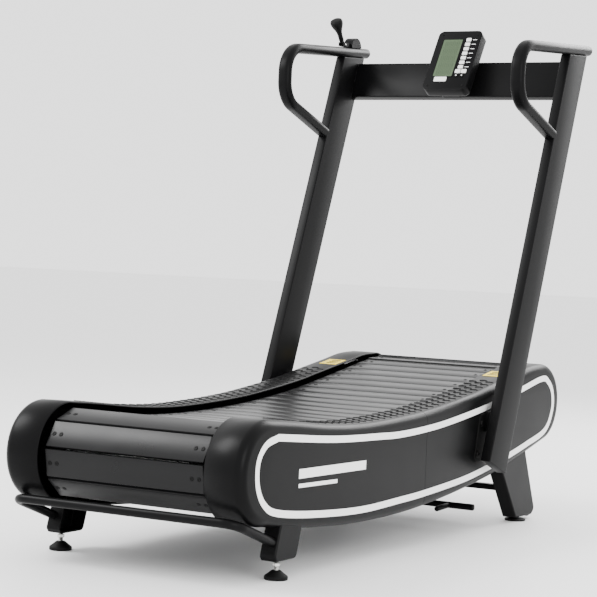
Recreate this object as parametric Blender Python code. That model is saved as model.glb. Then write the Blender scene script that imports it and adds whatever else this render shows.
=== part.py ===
"""Curved manual treadmill: frame, covers, slat belt, drums, brake, uprights, handles and console.

Metres, +Z up, +Y towards the console, +X to the user's right. The origin is on the floor under
the middle of the machine.
"""

import bisect
import math

import bmesh
import bpy
from mathutils import Matrix, Vector

GAP = 0.0003  # clearance that neighbouring solids keep

# drums and belt, in the plane of the side view (y, z)
REAR_DRUM = (-0.841, 0.273)
FRONT_DRUM = (0.839, 0.363)
BELT_RADIUS = 0.111
BELT_THICKNESS = 0.014
BELT_HALF_WIDTH = 0.243
BELT_TOP = [(-0.826, 0.383), (-0.573, 0.358), (-0.323, 0.350), (-0.043, 0.358), (0.228, 0.381),
            (0.477, 0.4175), (0.736, 0.4605), (0.817, 0.472)]
BELT_BOTTOM = [(0.868, 0.256), (0.700, 0.221), (0.500, 0.187), (0.300, 0.158), (0.100, 0.138),
               (-0.080, 0.126), (-0.270, 0.122), (-0.450, 0.127), (-0.666, 0.143), (-0.826, 0.163)]

# side covers
COVER_REAR_RADIUS = 0.132
COVER_FRONT_CENTRE = (0.851, 0.362)
COVER_FRONT_RADIUS = 0.122
COVER_TOP = [(-0.841, 0.405), (-0.711, 0.394), (-0.5345, 0.3765), (-0.348, 0.3675), (-0.150, 0.371),
             (0.027, 0.380), (0.177, 0.394), (0.357, 0.415), (0.466, 0.4325), (0.647, 0.461),
             (0.760, 0.4795), (0.851, 0.484)]
COVER_BOTTOM = [(0.8826, 0.2442), (0.700, 0.203), (0.500, 0.163), (0.300, 0.136), (0.100, 0.1155),
                (-0.080, 0.104), (-0.270, 0.1005), (-0.450, 0.105), (-0.666, 0.1204), (-0.841, 0.141)]
COVER_INNER_X = 0.250
COVER_OUTER_X = 0.360
COVER_WALL = 0.004
COVER_EDGE = 0.026  # radius of the rounded outer edge
PANEL_JOINT_Y = 0.0155

# frame
RAIL_X = (0.275, 0.308)
RAIL_BELOW_BELT = 0.0165
RAIL_HEIGHT = 0.105
RAIL_END_Y = (-0.815, 0.815)
RAIL_EYE = 0.062  # radius of the rail's round ends, behind the bearings
BELT_LEDGE = 0.226  # inner edge of the ledge that carries the belt
SHAFT_RADIUS = 0.0125
PULLEY_RADIUS = 0.0955
PULLEY_X = (0.185, 0.225)
BEARING_X = (0.2475, 0.2747)
LEG_X = (0.3083, 0.352)
FOOT_X = 0.332
REAR_FOOT_Y = -0.7467
FRONT_FOOT_Y = 0.7187

# uprights, crossbar and handles
LEAN = math.radians(20.9)
UPRIGHT_REAR_Y = 0.242  # rear edge carried down to the floor
UPRIGHT_DEPTH = 0.126
UPRIGHT_X = (0.3845, 0.416)
TUBE_WALL = 0.0025
CROSSBAR_DEPTH = 0.030
CROSSBAR_Z = (1.3305, 1.4446)  # on its rear face
HANDLE_X = 0.400
HANDLE_WIDTH = 0.052
HANDLE_THICK = 0.030
HANDLE_RISE = 0.0615
HANDLE_FRONT = (0.962, 1.4834)
HANDLE_LOOP_Y = 0.4407
HANDLE_LOWER = (0.7006, 1.2020)
HANDLE_LOWER_SLOPE = -0.34
HANDLE_BEND = 0.080

# console
CONSOLE_CENTRE = Vector((0.0, 0.819, 1.4465))  # middle of the face
CONSOLE_TILT = math.radians(31.1)  # top forward, from upright
CONSOLE_SIZE = (0.155, 0.2324, 0.044)
FACE_THICK = 0.006
KEY_SINK = 0.0045
KEY_PROUD = 0.0015

# resistance lever
LEVER_PIVOT = (-0.400, 0.808, 1.4995)
LEVER_LEAN = math.radians(35.5)  # rearwards, from upright
LEVER_KNOB = [(0.016, 0.0085), (0.030, 0.0085), (0.040, 0.0105), (0.050, 0.0155), (0.060, 0.0195),
              (0.070, 0.0210), (0.079, 0.0190), (0.087, 0.0135), (0.0915, 0.0060)]  # along, radius
LEVER_DOME = (0.877, 0.033, 0.032)  # place along the bar, radius and thickness
BRAKE_DISC_X = (-0.336, -0.330)
BRAKE_DISC_RADIUS = 0.098
MAGNET_PIVOT = (0.716, 0.392)

COLOURS = {
    "powder_black": ((0.010, 0.010, 0.011), 0.42, 0.0),
    "shell_black": ((0.014, 0.014, 0.015), 0.45, 0.0),
    "slat_grey": ((0.022, 0.022, 0.023), 0.40, 0.0),
    "rubber_black": ((0.012, 0.012, 0.012), 0.75, 0.0),
    "zinc": ((0.60, 0.60, 0.58), 0.30, 1.0),
    "aluminium": ((0.55, 0.55, 0.56), 0.35, 1.0),
    "key_white": ((0.80, 0.80, 0.78), 0.45, 0.0),
    "display_glass": ((0.20, 0.25, 0.18), 0.15, 0.0),
}


def clear_scene():
    for item in list(bpy.data.objects):
        bpy.data.objects.remove(item, do_unlink=True)


def material(name):
    found = bpy.data.materials.get(name)
    if found:
        return found
    colour, roughness, metallic = COLOURS[name]
    made = bpy.data.materials.new(name)
    made.use_nodes = True
    shader = made.node_tree.nodes["Principled BSDF"]
    shader.inputs["Base Color"].default_value = (*colour, 1.0)
    shader.inputs["Roughness"].default_value = roughness
    shader.inputs["Metallic"].default_value = metallic
    return made


def finish(name, bm, finish_name, origin=(0.0, 0.0, 0.0), smooth=True):
    """Make the object of a bmesh given in world places, with its own origin."""
    bmesh.ops.recalc_face_normals(bm, faces=bm.faces)
    bmesh.ops.translate(bm, verts=bm.verts, vec=-Vector(origin))
    mesh = bpy.data.meshes.new(name)
    bm.to_mesh(mesh)
    bm.free()
    if smooth:
        mesh.shade_smooth()
        mesh.set_sharp_from_angle(angle=math.radians(35))
    made = bpy.data.objects.new(name, mesh)
    made.location = origin
    made.data.materials.append(material(finish_name))
    bpy.context.scene.collection.objects.link(made)
    return made


def combine(target, other, operation):
    """Apply an exact Boolean of a second object, which is used up."""
    bpy.context.view_layer.update()
    step = target.modifiers.new(operation.lower(), "BOOLEAN")
    step.operation = operation
    step.solver = "EXACT"
    step.object = other
    bpy.context.view_layer.update()
    cut = bpy.data.meshes.new_from_object(target.evaluated_get(bpy.context.evaluated_depsgraph_get()))
    target.modifiers.clear()
    cut.name = target.name
    target.data = cut
    bpy.data.objects.remove(other, do_unlink=True)
    return target


# shapes


def smooth_curve(points, steps):
    """Points along a Catmull-Rom curve through the given ones."""
    ends = [tuple(2 * a - b for a, b in zip(points[0], points[1]))]
    last = [tuple(2 * a - b for a, b in zip(points[-1], points[-2]))]
    guide = ends + list(points) + last
    curve = []
    for i in range(1, len(guide) - 2):
        a, b, c, d = (Vector(guide[i + k]) for k in (-1, 0, 1, 2))
        for k in range(steps):
            t = k / steps
            place = 0.5 * (2 * b + (c - a) * t + (2 * a - 5 * b + 4 * c - d) * t**2
                           + (3 * b - a - 3 * c + d) * t**3)
            curve.append((place[0], place[1]))
    return curve + [tuple(points[-1])]


def arc(centre, radius, start, end, steps):
    """Points on an arc, angles in degrees from +Y towards +Z, both ends included."""
    turn = [math.radians(start + (end - start) * k / steps) for k in range(steps + 1)]
    return [(centre[0] + radius * math.cos(a), centre[1] + radius * math.sin(a)) for a in turn]


def inset(outline, depth):
    """An outline moved inwards by a depth; the outline runs clockwise."""
    moved = []
    count = len(outline)
    for i in range(count):
        before, here, after = (Vector(outline[(i + k) % count]) for k in (-1, 0, 1))
        way_in, way_out = (here - before).normalized(), (after - here).normalized()
        normals = [Vector((way[1], -way[0])) for way in (way_in, way_out)]
        middle = (normals[0] + normals[1]).normalized()
        place = here + middle * depth / max(middle.dot(normals[0]), 0.3)
        moved.append((place[0], place[1]))
    return moved


def rounded(corners, radius, steps=3):
    """A polygon with its corners rounded by arcs."""
    outline = []
    count = len(corners)
    for i in range(count):
        before, here, after = (Vector(corners[(i + k) % count]) for k in (-1, 0, 1))
        a, b = (before - here).normalized(), (after - here).normalized()
        half = a.angle(b) / 2
        reach = min(radius / math.tan(half), 0.45 * min((before - here).length, (after - here).length))
        start, end = here + a * reach, here + b * reach
        centre = here + (a + b).normalized() * reach / math.cos(half)
        first, last = start - centre, end - centre
        for k in range(steps + 1):
            spoke = first.lerp(last, k / steps).normalized() * first.length
            outline.append((centre[0] + spoke[0], centre[1] + spoke[1]))
    return outline


def loft(rings, closed=False):
    """A closed skin through rings of equal length; a loft that isn't closed gets flat ends."""
    bm = bmesh.new()
    rows = [[bm.verts.new(place) for place in ring] for ring in rings]
    pairs = list(zip(rows, rows[1:])) + ([(rows[-1], rows[0])] if closed else [])
    for low, high in pairs:
        for i in range(len(low)):
            j = (i + 1) % len(low)
            bm.faces.new((low[i], low[j], high[j], high[i]))
    if not closed:
        bm.faces.new(rows[0])
        bm.faces.new(rows[-1])
    return bm


def side_ring(outline, x):
    return [(x, y, z) for y, z in outline]


def prism(outline, x0, x1):
    return loft([side_ring(outline, x0), side_ring(outline, x1)])


def ring_prism(outer, inner, x0, x1):
    """A band between two outlines of equal length, with a thickness along X."""
    return loft([side_ring(outer, x0), side_ring(outer, x1), side_ring(inner, x1), side_ring(inner, x0)],
                closed=True)


def pan(outline, x_open, x_face, wall, edge):
    """A shell that is open at x_open and has its face at x_face, with a rounded outer edge."""
    way = 1 if x_face > x_open else -1
    rings = [side_ring(outline, x_open)]
    for turn in (0, 30, 60, 90):
        a = math.radians(turn)
        rings.insert(0, side_ring(inset(outline, edge * (1 - math.cos(a))),
                                  x_face - way * edge * (1 - math.sin(a))))
    soft = max(edge - wall, 0.001)
    rings.append(side_ring(inset(outline, wall), x_open))
    for turn in (0, 90):
        a = math.radians(turn)
        rings.append(side_ring(inset(outline, wall + soft * (1 - math.cos(a))),
                               x_face - way * (wall + soft * (1 - math.sin(a)))))
    return loft(rings)


def turned(profile, axis, centre, segments=32, closed=False):
    """A body of revolution; the profile is a list of (radius, place along the axis)."""
    bm = bmesh.new()
    frame = {"X": (Vector((1, 0, 0)), Vector((0, 1, 0)), Vector((0, 0, 1))),
             "Z": (Vector((0, 0, 1)), Vector((1, 0, 0)), Vector((0, 1, 0)))}[axis]
    rows = []
    for radius, along in profile:
        turns = [2 * math.pi * k / segments for k in range(segments)]
        rows.append([bm.verts.new(Vector(centre) + frame[0] * along
                                  + (frame[1] * math.cos(a) + frame[2] * math.sin(a)) * radius)
                     for a in turns])
    pairs = list(zip(rows, rows[1:])) + ([(rows[-1], rows[0])] if closed else [])
    for low, high in pairs:
        for i in range(segments):
            j = (i + 1) % segments
            bm.faces.new((low[i], low[j], high[j], high[i]))
    if not closed:
        bm.faces.new(rows[0])
        bm.faces.new(rows[-1])
    return bm


def box(low, high):
    bm = bmesh.new()
    bmesh.ops.create_cube(bm, size=1.0)
    for vert in bm.verts:
        vert.co = Vector([low[k] if vert.co[k] < 0 else high[k] for k in range(3)])
    return bm


def rod(points, radius, segments=10):
    """A round bar along points in space."""
    rings = []
    side = Vector((0, 0, 1))
    for i, place in enumerate(points):
        ahead = points[min(i + 1, len(points) - 1)] - points[max(i - 1, 0)]
        ahead.normalize()
        first = ahead.cross(side).normalized()
        second = first.cross(ahead)
        turns = [2 * math.pi * k / segments for k in range(segments)]
        rings.append([place + (first * math.cos(a) + second * math.sin(a)) * radius for a in turns])
    return loft(rings)


def fillet(points, radius, steps=6):
    """A path in space with its corners bent to a radius."""
    path = [Vector(points[0])]
    for before, here, after in zip(points, points[1:], points[2:]):
        here = Vector(here)
        a, b = (Vector(before) - here).normalized(), (Vector(after) - here).normalized()
        half = a.angle(b) / 2
        reach = radius / math.tan(half)
        centre = here + (a + b).normalized() * radius / math.sin(half)
        first, last = here + a * reach - centre, here + b * reach - centre
        for k in range(steps + 1):
            path.append(centre + first.lerp(last, k / steps).normalized() * radius)
    return path + [Vector(points[-1])]


# outlines of the side view


def cover_outline():
    """Clockwise from the top of the rear end: top, front end, bottom, rear end."""
    top = smooth_curve(COVER_TOP, 2)
    front = arc(COVER_FRONT_CENTRE, COVER_FRONT_RADIUS, 90, -75, 10)
    bottom = smooth_curve(COVER_BOTTOM, 2)
    rear = arc(REAR_DRUM, COVER_REAR_RADIUS, 270, 90, 12)
    return top[:-1] + front + bottom[1:-1] + rear[:-1]


def belt_outline(depth=0.0):
    """The belt's outer face, or a line a depth inside it, clockwise."""
    top = smooth_curve(BELT_TOP, 2)
    front = arc(FRONT_DRUM, BELT_RADIUS, 100, -75, 16)
    bottom = smooth_curve(BELT_BOTTOM, 2)
    rear = arc(REAR_DRUM, BELT_RADIUS, 274, 86, 17)
    outline = top[:-1] + front + bottom[1:] + rear
    return inset(outline, depth) if depth else outline


def belt_top_z(y):
    """The height of the running surface at y."""
    curve = smooth_curve(BELT_TOP, 2)
    i = min(max(bisect.bisect([p[0] for p in curve], y), 1), len(curve) - 1)
    (y0, z0), (y1, z1) = curve[i - 1], curve[i]
    return z0 + (z1 - z0) * (y - y0) / (y1 - y0)


def lean_point(across, up):
    """A place on the uprights' side view: across from the rear edge, and up along the tube."""
    return (UPRIGHT_REAR_Y + across * math.cos(LEAN) + up * math.sin(LEAN),
            -across * math.sin(LEAN) + up * math.cos(LEAN))


def handle_path(inboard):
    """The handle's centre line: bar, rear bend, lower bend and the arm to the upright."""
    front_y, front_z = HANDLE_FRONT
    low_y, low_z = HANDLE_LOWER
    upper = front_z + (HANDLE_LOOP_Y - front_y) * HANDLE_RISE
    lower = low_z + (HANDLE_LOOP_Y - low_y) * HANDLE_LOWER_SLOPE
    corners = [(inboard, front_y, front_z), (inboard, HANDLE_LOOP_Y, upper),
               (inboard, HANDLE_LOOP_Y, lower), (inboard, low_y, low_z)]
    return fillet(corners, HANDLE_BEND, 5)


# frame


def rail_outline(ends, height, steps):
    """A bar that follows the underside of the running surface."""
    span = [ends[0] + (ends[1] - ends[0]) * k / steps for k in range(steps + 1)]
    high = [(y, belt_top_z(y) - RAIL_BELOW_BELT) for y in span]
    return high + [(y, z - height) for y, z in reversed(high)]


def build_rails():
    web = rail_outline(RAIL_END_Y, RAIL_HEIGHT, 14)
    shelf = rail_outline((-0.700, 0.700), 0.006, 14)
    for side, word in ((-1, "left"), (1, "right")):
        x0, x1 = (side * x for x in RAIL_X)
        rail = finish(f"side_rail_{word}", prism(web, x0, x1), "powder_black", smooth=False)
        for centre in (REAR_DRUM, FRONT_DRUM):
            ring = [(0.016, x0), (RAIL_EYE, x0), (RAIL_EYE, x1), (0.016, x1)]
            eye = turned(ring, "X", (0, *centre), 20, closed=True)
            combine(rail, finish("eye", eye, "powder_black"), "UNION")
        ledge = prism(shelf, side * BELT_LEDGE, x0 + side * 0.004)
        combine(rail, finish("ledge", ledge, "powder_black", smooth=False), "UNION")


def build_cross_tubes():
    for word, y in (("rear", -0.60), ("front", 0.60)):
        z = belt_top_z(y) - 0.080
        outer = rounded([(y - 0.03, z - 0.02), (y - 0.03, z + 0.02), (y + 0.03, z + 0.02),
                         (y + 0.03, z - 0.02)], 0.006, 2)
        reach = RAIL_X[0] - GAP
        finish(f"cross_tube_{word}", ring_prism(outer, inset(outer, 0.003), -reach, reach), "powder_black")


def build_legs():
    rear = rounded([(-0.7934, 0.048), (-0.714, 0.300), (-0.600, 0.300), (-0.6819, 0.048)], 0.014)
    front = rounded([(0.680, 0.0125), (0.555, 0.175), (0.585, 0.340), (0.690, 0.340), (0.738, 0.209),
                     (0.8235, 0.0300), (0.803, 0.0125)], 0.014)
    for side, word in ((-1, "left"), (1, "right")):
        ends = (side * LEG_X[0], side * LEG_X[1])
        finish(f"rear_leg_{word}", pan(rear, *ends, 0.004, 0.005), "powder_black")
        leg = finish(f"front_leg_{word}", pan(front, *ends, 0.004, 0.005), "powder_black")
        slot = turned([(0.0335, side * 0.3120), (0.0335, side * 0.3460)], "X", (0, 0.800, 0.036), 16)
        combine(leg, finish("slot", slot, "powder_black"), "DIFFERENCE")
        axle = finish("axle", turned([(0.005, side * 0.3135), (0.005, side * 0.3500)], "X",
                                     (0, 0.800, 0.036), 12), "powder_black")
        combine(leg, axle, "UNION")


def build_lower_tubes():
    section = rounded([(0.660, 0.094), (0.660, 0.112), (0.690, 0.112), (0.690, 0.094)], 0.004, 2)
    reach = LEG_X[0] - GAP
    finish("leg_cross_tube", ring_prism(section, inset(section, 0.002), -reach, reach), "powder_black")
    bar = finish("under_frame_rod", rod([Vector((-0.300, 0.474, 0.060)), Vector((0.300, 0.474, 0.060))],
                                        0.010, 12), "powder_black")
    for side in (-1, 1):
        arm = rod([Vector((side * 0.12, 0.472, 0.060)), Vector((side * 0.12, 0.6595, 0.100))], 0.007, 10)
        combine(bar, finish("arm", arm, "powder_black"), "UNION")
        stub = rod([Vector((side * 0.22, 0.476, 0.060)), Vector((side * 0.22, 0.388, 0.056))], 0.008, 10)
        combine(bar, finish("stub", stub, "powder_black"), "UNION")


def build_lifting_bar():
    corners = [(-0.335, -0.7788, 0.0958), (-0.335, -0.953, 0.158), (0.335, -0.953, 0.158),
               (0.335, -0.7788, 0.0958)]
    finish("rear_lifting_bar", rod(fillet(corners, 0.040, 4), 0.012, 10), "powder_black")


def build_uprights():
    base = 0.221 / math.cos(LEAN)
    for side, word in ((-1, "left"), (1, "right")):
        x0, x1 = (side * x for x in UPRIGHT_X)
        bar_low = HANDLE_FRONT[1] - HANDLE_THICK / 2 - 0.0005
        ends = []
        for across in (0.0, UPRIGHT_DEPTH):
            foot = Vector(lean_point(across, base))
            way = Vector((math.sin(LEAN), math.cos(LEAN)))
            rise = (bar_low + (foot[0] - HANDLE_FRONT[0]) * HANDLE_RISE - foot[1]) / (
                way[1] - way[0] * HANDLE_RISE)
            ends.append((foot, foot + way * rise))
        rings = []
        for low in (True, False):
            rear, front = ends[0][not low], ends[1][not low]
            across = (front - rear).normalized() * TUBE_WALL
            wall = side * TUBE_WALL
            rings.append([(x0, *rear), (x1, *rear), (x1, *front), (x0, *front)])
            rings.append([(x0 + wall, *(rear + across)), (x1 - wall, *(rear + across)),
                          (x1 - wall, *(front - across)), (x0 + wall, *(front - across))])
        skin = loft([rings[0], rings[2], rings[3], rings[1]], closed=True)
        post = finish(f"upright_{word}", skin, "powder_black", smooth=False)
        stub = box((0.3083, 0.395, 0.300), (0.3860, 0.455, 0.360))
        bmesh.ops.scale(stub, verts=stub.verts, vec=(side, 1, 1))
        combine(post, finish("stub", stub, "powder_black", smooth=False), "UNION")


def build_crossbar():
    high = CROSSBAR_Z[1] / math.cos(LEAN) + 0.096 * math.tan(LEAN)
    low = CROSSBAR_Z[0] / math.cos(LEAN) + 0.096 * math.tan(LEAN)
    rear, front = UPRIGHT_DEPTH - CROSSBAR_DEPTH, UPRIGHT_DEPTH
    outline = rounded([lean_point(rear, low), lean_point(rear, high), lean_point(front, high),
                       lean_point(front, low)], 0.003, 1)
    reach = UPRIGHT_X[0] - GAP
    finish("crossbar", ring_prism(outline, inset(outline, TUBE_WALL), -reach, reach), "powder_black")


def stadium(width, thick, steps=4):
    """A flat oval section, as offsets across and through."""
    flat, radius = (width - thick) / 2, thick / 2
    turn = [math.pi * k / steps for k in range(steps + 1)]
    right = [(flat + radius * math.sin(a), radius * math.cos(a)) for a in turn]
    return right + [(-across, -through) for across, through in right]


def build_handles():
    for side, word in ((-1, "left"), (1, "right")):
        path = handle_path(side * HANDLE_X)
        skins = []
        for wall in (0.0, 0.0025):
            section = stadium(HANDLE_WIDTH - 2 * wall, HANDLE_THICK - 2 * wall)
            nose = [(0.35, 0.0075 - wall), (0.75, 0.0055 - wall), (0.94, 0.0030 - wall)]
            front = Vector((0, 1, HANDLE_RISE)).normalized()
            up = Vector((0, -front[2], front[1]))
            rings = [[path[0] + front * ahead + (Vector((across, 0, 0)) + up * deep) * part
                      for across, deep in section] for part, ahead in nose]
            for i, place in enumerate(path):
                ahead = (path[min(i + 1, len(path) - 1)] - path[max(i - 1, 0)]).normalized()
                through = ahead.cross(Vector((1, 0, 0))).normalized()
                if i == len(path) - 1:
                    # the arm's end is cut along the upright's rear face
                    rear_face = Vector((0, math.sin(LEAN), math.cos(LEAN)))
                    through = -rear_face / abs(rear_face.dot(through))
                rings.append([place + Vector((across, 0, 0)) + through * deep for across, deep in section])
            skins.append(rings)
        skin = loft(skins[0] + list(reversed(skins[1])))
        finish(f"handle_{word}", skin, "powder_black")


# covers and belt


def cover_cutters(side, part):
    """The leg slots, and on the front panel the hole behind the upright."""
    low, high = (side * x for x in (LEG_X[0] - 0.0015, LEG_X[1] + 0.0015))
    if part == "rear":
        slots = [box((low, -0.806, 0.080), (high, -0.628, 0.180))]
    else:
        slots = [box((low, 0.545, 0.100), (high, 0.752, 0.260)),
                 box((side * 0.320, 0.390, 0.295), (side * 0.380, 0.460, 0.365))]
    return slots


def build_covers():
    outline = cover_outline()
    for side, word in ((-1, "left"), (1, "right")):
        for part in ("rear", "front"):
            shell = pan(outline, side * COVER_INNER_X, side * COVER_OUTER_X, COVER_WALL, COVER_EDGE)
            panel = finish(f"{part}_cover_{word}", shell, "shell_black")
            edge = PANEL_JOINT_Y + (-GAP / 2 if part == "rear" else GAP / 2)
            far = 1.2 if part == "rear" else -1.2
            away = box((-0.5, min(edge, far), -0.1), (0.5, max(edge, far), 0.7))
            combine(panel, finish("away", away, "shell_black", smooth=False), "DIFFERENCE")
            for slot in cover_cutters(side, part):
                bmesh.ops.recalc_face_normals(slot, faces=slot.faces)
                combine(panel, finish("slot", slot, "shell_black", smooth=False), "DIFFERENCE")


def build_belt():
    bm = ring_prism(belt_outline(), belt_outline(BELT_THICKNESS), -BELT_HALF_WIDTH, BELT_HALF_WIDTH)
    finish("slat_belt", bm, "slat_grey")


def build_drums():
    for word, centre in (("rear", REAR_DRUM), ("front", FRONT_DRUM)):
        place = (0.0, *centre)
        left = -0.2690 if word == "rear" else -0.3420
        finish(f"{word}_shaft", turned([(SHAFT_RADIUS, left), (SHAFT_RADIUS, 0.2690)], "X", place, 24),
               "zinc", origin=place)
        for side, hand in ((-1, "left"), (1, "right")):
            inner, outer = PULLEY_X
            bore, rim = SHAFT_RADIUS + GAP, PULLEY_RADIUS
            profile = [(bore, side * inner), (rim, side * inner), (rim, side * outer), (bore, side * outer)]
            finish(f"{word}_pulley_{hand}", turned(profile, "X", place, 32, closed=True),
                   "aluminium", origin=place)
            low, high = BEARING_X
            bore = SHAFT_RADIUS + GAP
            block = [(bore, side * low), (0.036, side * low), (0.036, side * (high - 0.010)),
                     (0.048, side * (high - 0.008)), (0.048, side * (high - GAP)),
                     (bore, side * (high - GAP))]
            finish(f"{word}_bearing_{hand}", turned(block, "X", place, 16, closed=True), "powder_black")


# brake and lever


def build_brake():
    centre = (0.0, *FRONT_DRUM)
    bore, rim = SHAFT_RADIUS + GAP, BRAKE_DISC_RADIUS
    disc = [(bore, BRAKE_DISC_X[0]), (rim, BRAKE_DISC_X[0]), (rim, BRAKE_DISC_X[1]),
            (bore, BRAKE_DISC_X[1])]
    finish("brake_disc", turned(disc, "X", centre, 32, closed=True), "aluminium", origin=centre)
    pivot = (0.0, *MAGNET_PIVOT)
    bracket = finish("magnet_bracket", box((-0.3195, 0.700, 0.362), (-0.3083, 0.732, 0.420)),
                     "powder_black", smooth=False)
    pin = finish("pin", turned([(0.006, -0.3180), (0.006, -0.3480)], "X", pivot, 16), "zinc")
    combine(bracket, pin, "UNION")
    yoke = finish("magnet_yoke", box((-0.3465, 0.704, 0.364), (-0.3200, 0.792, 0.420)), "aluminium",
                  origin=pivot, smooth=False)
    throat = finish("throat", box((-0.3390, 0.734, 0.350), (-0.3270, 0.800, 0.430)), "aluminium",
                    smooth=False)
    combine(yoke, throat, "DIFFERENCE")
    bore = finish("bore", turned([(0.0066, -0.36), (0.0066, -0.30)], "X", pivot, 16), "zinc")
    combine(yoke, bore, "DIFFERENCE")


def build_lever():
    x, y, z = LEVER_PIVOT
    dome_y, dome_radius, dome_thick = LEVER_DOME
    bar_top = HANDLE_FRONT[1] + (dome_y - HANDLE_FRONT[0]) * HANDLE_RISE + HANDLE_THICK / 2 + 0.0005
    rise = math.degrees(math.atan(HANDLE_RISE))
    half = arc((dome_y, bar_top), dome_radius, rise, 180 + rise, 20)
    half_ends = (x - dome_thick / 2, x + dome_thick / 2)
    housing = finish("lever_housing", prism(half, *half_ends), "rubber_black")
    cheek = box((x - 0.010, y - 0.010, bar_top - 0.0004), (x + 0.010, dome_y - 0.010, z + 0.0065))
    combine(housing, finish("cheek", cheek, "rubber_black", smooth=False), "UNION")
    gap = box((x - 0.0058, y - 0.020, z - 0.020), (x + 0.0058, y + 0.016, z + 0.050))
    combine(housing, finish("gap", gap, "rubber_black", smooth=False), "DIFFERENCE")
    hole = turned([(0.0034, x - 0.02), (0.0034, x + 0.02)], "X", (0, y, z), 16)
    combine(housing, finish("hole", hole, "rubber_black"), "DIFFERENCE")
    finish("lever_pin", turned([(0.0031, x - 0.0125), (0.0031, x + 0.0125)], "X", (0, y, z), 16), "zinc",
           origin=LEVER_PIVOT)
    way = Vector((0, -math.sin(LEVER_LEAN), math.cos(LEVER_LEAN)))
    across = Vector((0, way[2], -way[1]))
    rings = []
    for along, radius in LEVER_KNOB:
        turns = [2 * math.pi * k / 16 for k in range(16)]
        rings.append([Vector(LEVER_PIVOT) + way * along
                      + (Vector((1, 0, 0)) * math.cos(a) + across * math.sin(a)) * radius for a in turns])
    lever = finish("resistance_lever", loft(rings), "rubber_black", origin=LEVER_PIVOT)
    tongue = [Vector((y, z)) + Vector((way[1], way[2])) * along + Vector((across[1], across[2])) * wide
              for along, wide in ((0.020, -0.0052), (0.020, 0.0052), (0.0, 0.0052), (-0.0037, 0.0037),
                                  (-0.0052, 0.0), (-0.0037, -0.0037), (0.0, -0.0052))]
    blade = finish("blade", prism(tongue, x - 0.0055, x + 0.0055), "rubber_black", smooth=False)
    combine(lever, blade, "UNION")
    hole = turned([(0.0034, x - 0.02), (0.0034, x + 0.02)], "X", (0, y, z), 16)
    combine(lever, finish("hole", hole, "rubber_black"), "DIFFERENCE")


# console


def console_place(across, up, out):
    """A place on the console: across and up its face, and out from it."""
    sin, cos = math.sin(CONSOLE_TILT), math.cos(CONSOLE_TILT)
    return CONSOLE_CENTRE + Vector((across, up * sin - out * cos, up * cos + out * sin))


def console_block(corners, low, high):
    """A block on the console's own axes: across, up its face and out of it."""
    return loft([[(a, b, out) for a, b in corners] for out in (low, high)])


def set_on_console(piece):
    """Turn a piece made on the console's own axes into its place on the machine."""
    piece.location = console_place(*piece.location)
    piece.rotation_euler = (math.pi / 2 - CONSOLE_TILT, 0.0, 0.0)


def rectangle(centre, size, radius, steps=2):
    (a, b), (w, h) = centre, (size[0] / 2, size[1] / 2)
    return rounded([(a - w, b - h), (a - w, b + h), (a + w, b + h), (a + w, b - h)], radius, steps)


def console_keys():
    """Each key's name, centre on the face and size."""
    keys = [(f"mode_key_{i + 1}", (0.037, 0.0788 - 0.018 * i), (0.0170, 0.0125)) for i in range(7)]
    keys += [("down_key", (0.032, -0.0462), (0.018, 0.0145)), ("up_key", (0.053, -0.0462), (0.018, 0.0145))]
    keys += [("stop_key", (0.031, -0.0630), (0.013, 0.011)), ("start_key", (0.0505, -0.0630), (0.013, 0.011))]
    return keys + [("enter_key", (-0.0215, -0.0772), (0.043, 0.017))]


def build_console():
    wide, tall, deep = CONSOLE_SIZE
    outline = rectangle((0, 0), (wide, tall), 0.018, 4)
    back = finish("console_shell", console_block(outline, -deep, -FACE_THICK - GAP), "shell_black")
    hollow = console_block(rectangle((0, 0), (wide - 0.008, tall - 0.008), 0.014, 3), -deep + 0.004, 0.010)
    combine(back, finish("hollow", hollow, "shell_black"), "DIFFERENCE")
    face = finish("console_face", console_block(outline, -FACE_THICK, 0.0), "shell_black")
    window = rectangle((-0.0185, 0.0078), (0.067, 0.146), 0.003)
    opening = console_block(inset(window, -0.0004), -0.003, 0.010)
    combine(face, finish("opening", opening, "shell_black"), "DIFFERENCE")
    lens = finish("display_lens", console_block(window, -0.003 + GAP, -0.0004), "display_glass")
    pieces = [back, face, lens]
    for name, centre, size in console_keys():
        hole = console_block(rectangle(centre, (size[0] + 0.0008, size[1] + 0.0008), 0.002), -0.02, 0.01)
        combine(face, finish("key_hole", hole, "shell_black"), "DIFFERENCE")
        key = console_block(rectangle(centre, size, 0.0018), -KEY_SINK, KEY_PROUD)
        shade = "rubber_black" if name in ("stop_key", "start_key") else "key_white"
        pieces.append(finish(name, key, shade, origin=(*centre, 0.0)))
    rear = -deep - GAP
    arm = console_block(rectangle((0, -0.060), (0.070, 0.080), 0.006), rear - 0.026, rear)
    bracket = finish("console_bracket", arm, "powder_black")
    pieces.append(bracket)
    for piece in pieces:
        set_on_console(piece)
    bpy.context.view_layer.update()
    bracket.data.transform(bracket.matrix_world)
    bracket.matrix_world = Matrix.Identity(4)
    face_line = UPRIGHT_DEPTH - CROSSBAR_DEPTH - GAP
    trim = [lean_point(face_line, 1.2), lean_point(face_line, 1.8), lean_point(UPRIGHT_DEPTH + 0.2, 1.8),
            lean_point(UPRIGHT_DEPTH + 0.2, 1.2)]
    foot = rounded([lean_point(0.070, 1.470), lean_point(0.070, 1.520), lean_point(0.110, 1.520),
                    lean_point(0.110, 1.470)], 0.002, 1)
    combine(bracket, finish("foot", prism(foot, -0.030, 0.030), "powder_black"), "UNION")
    combine(bracket, finish("trim", prism(trim, -0.1, 0.1), "powder_black"), "DIFFERENCE")


# feet and wheels


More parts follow.
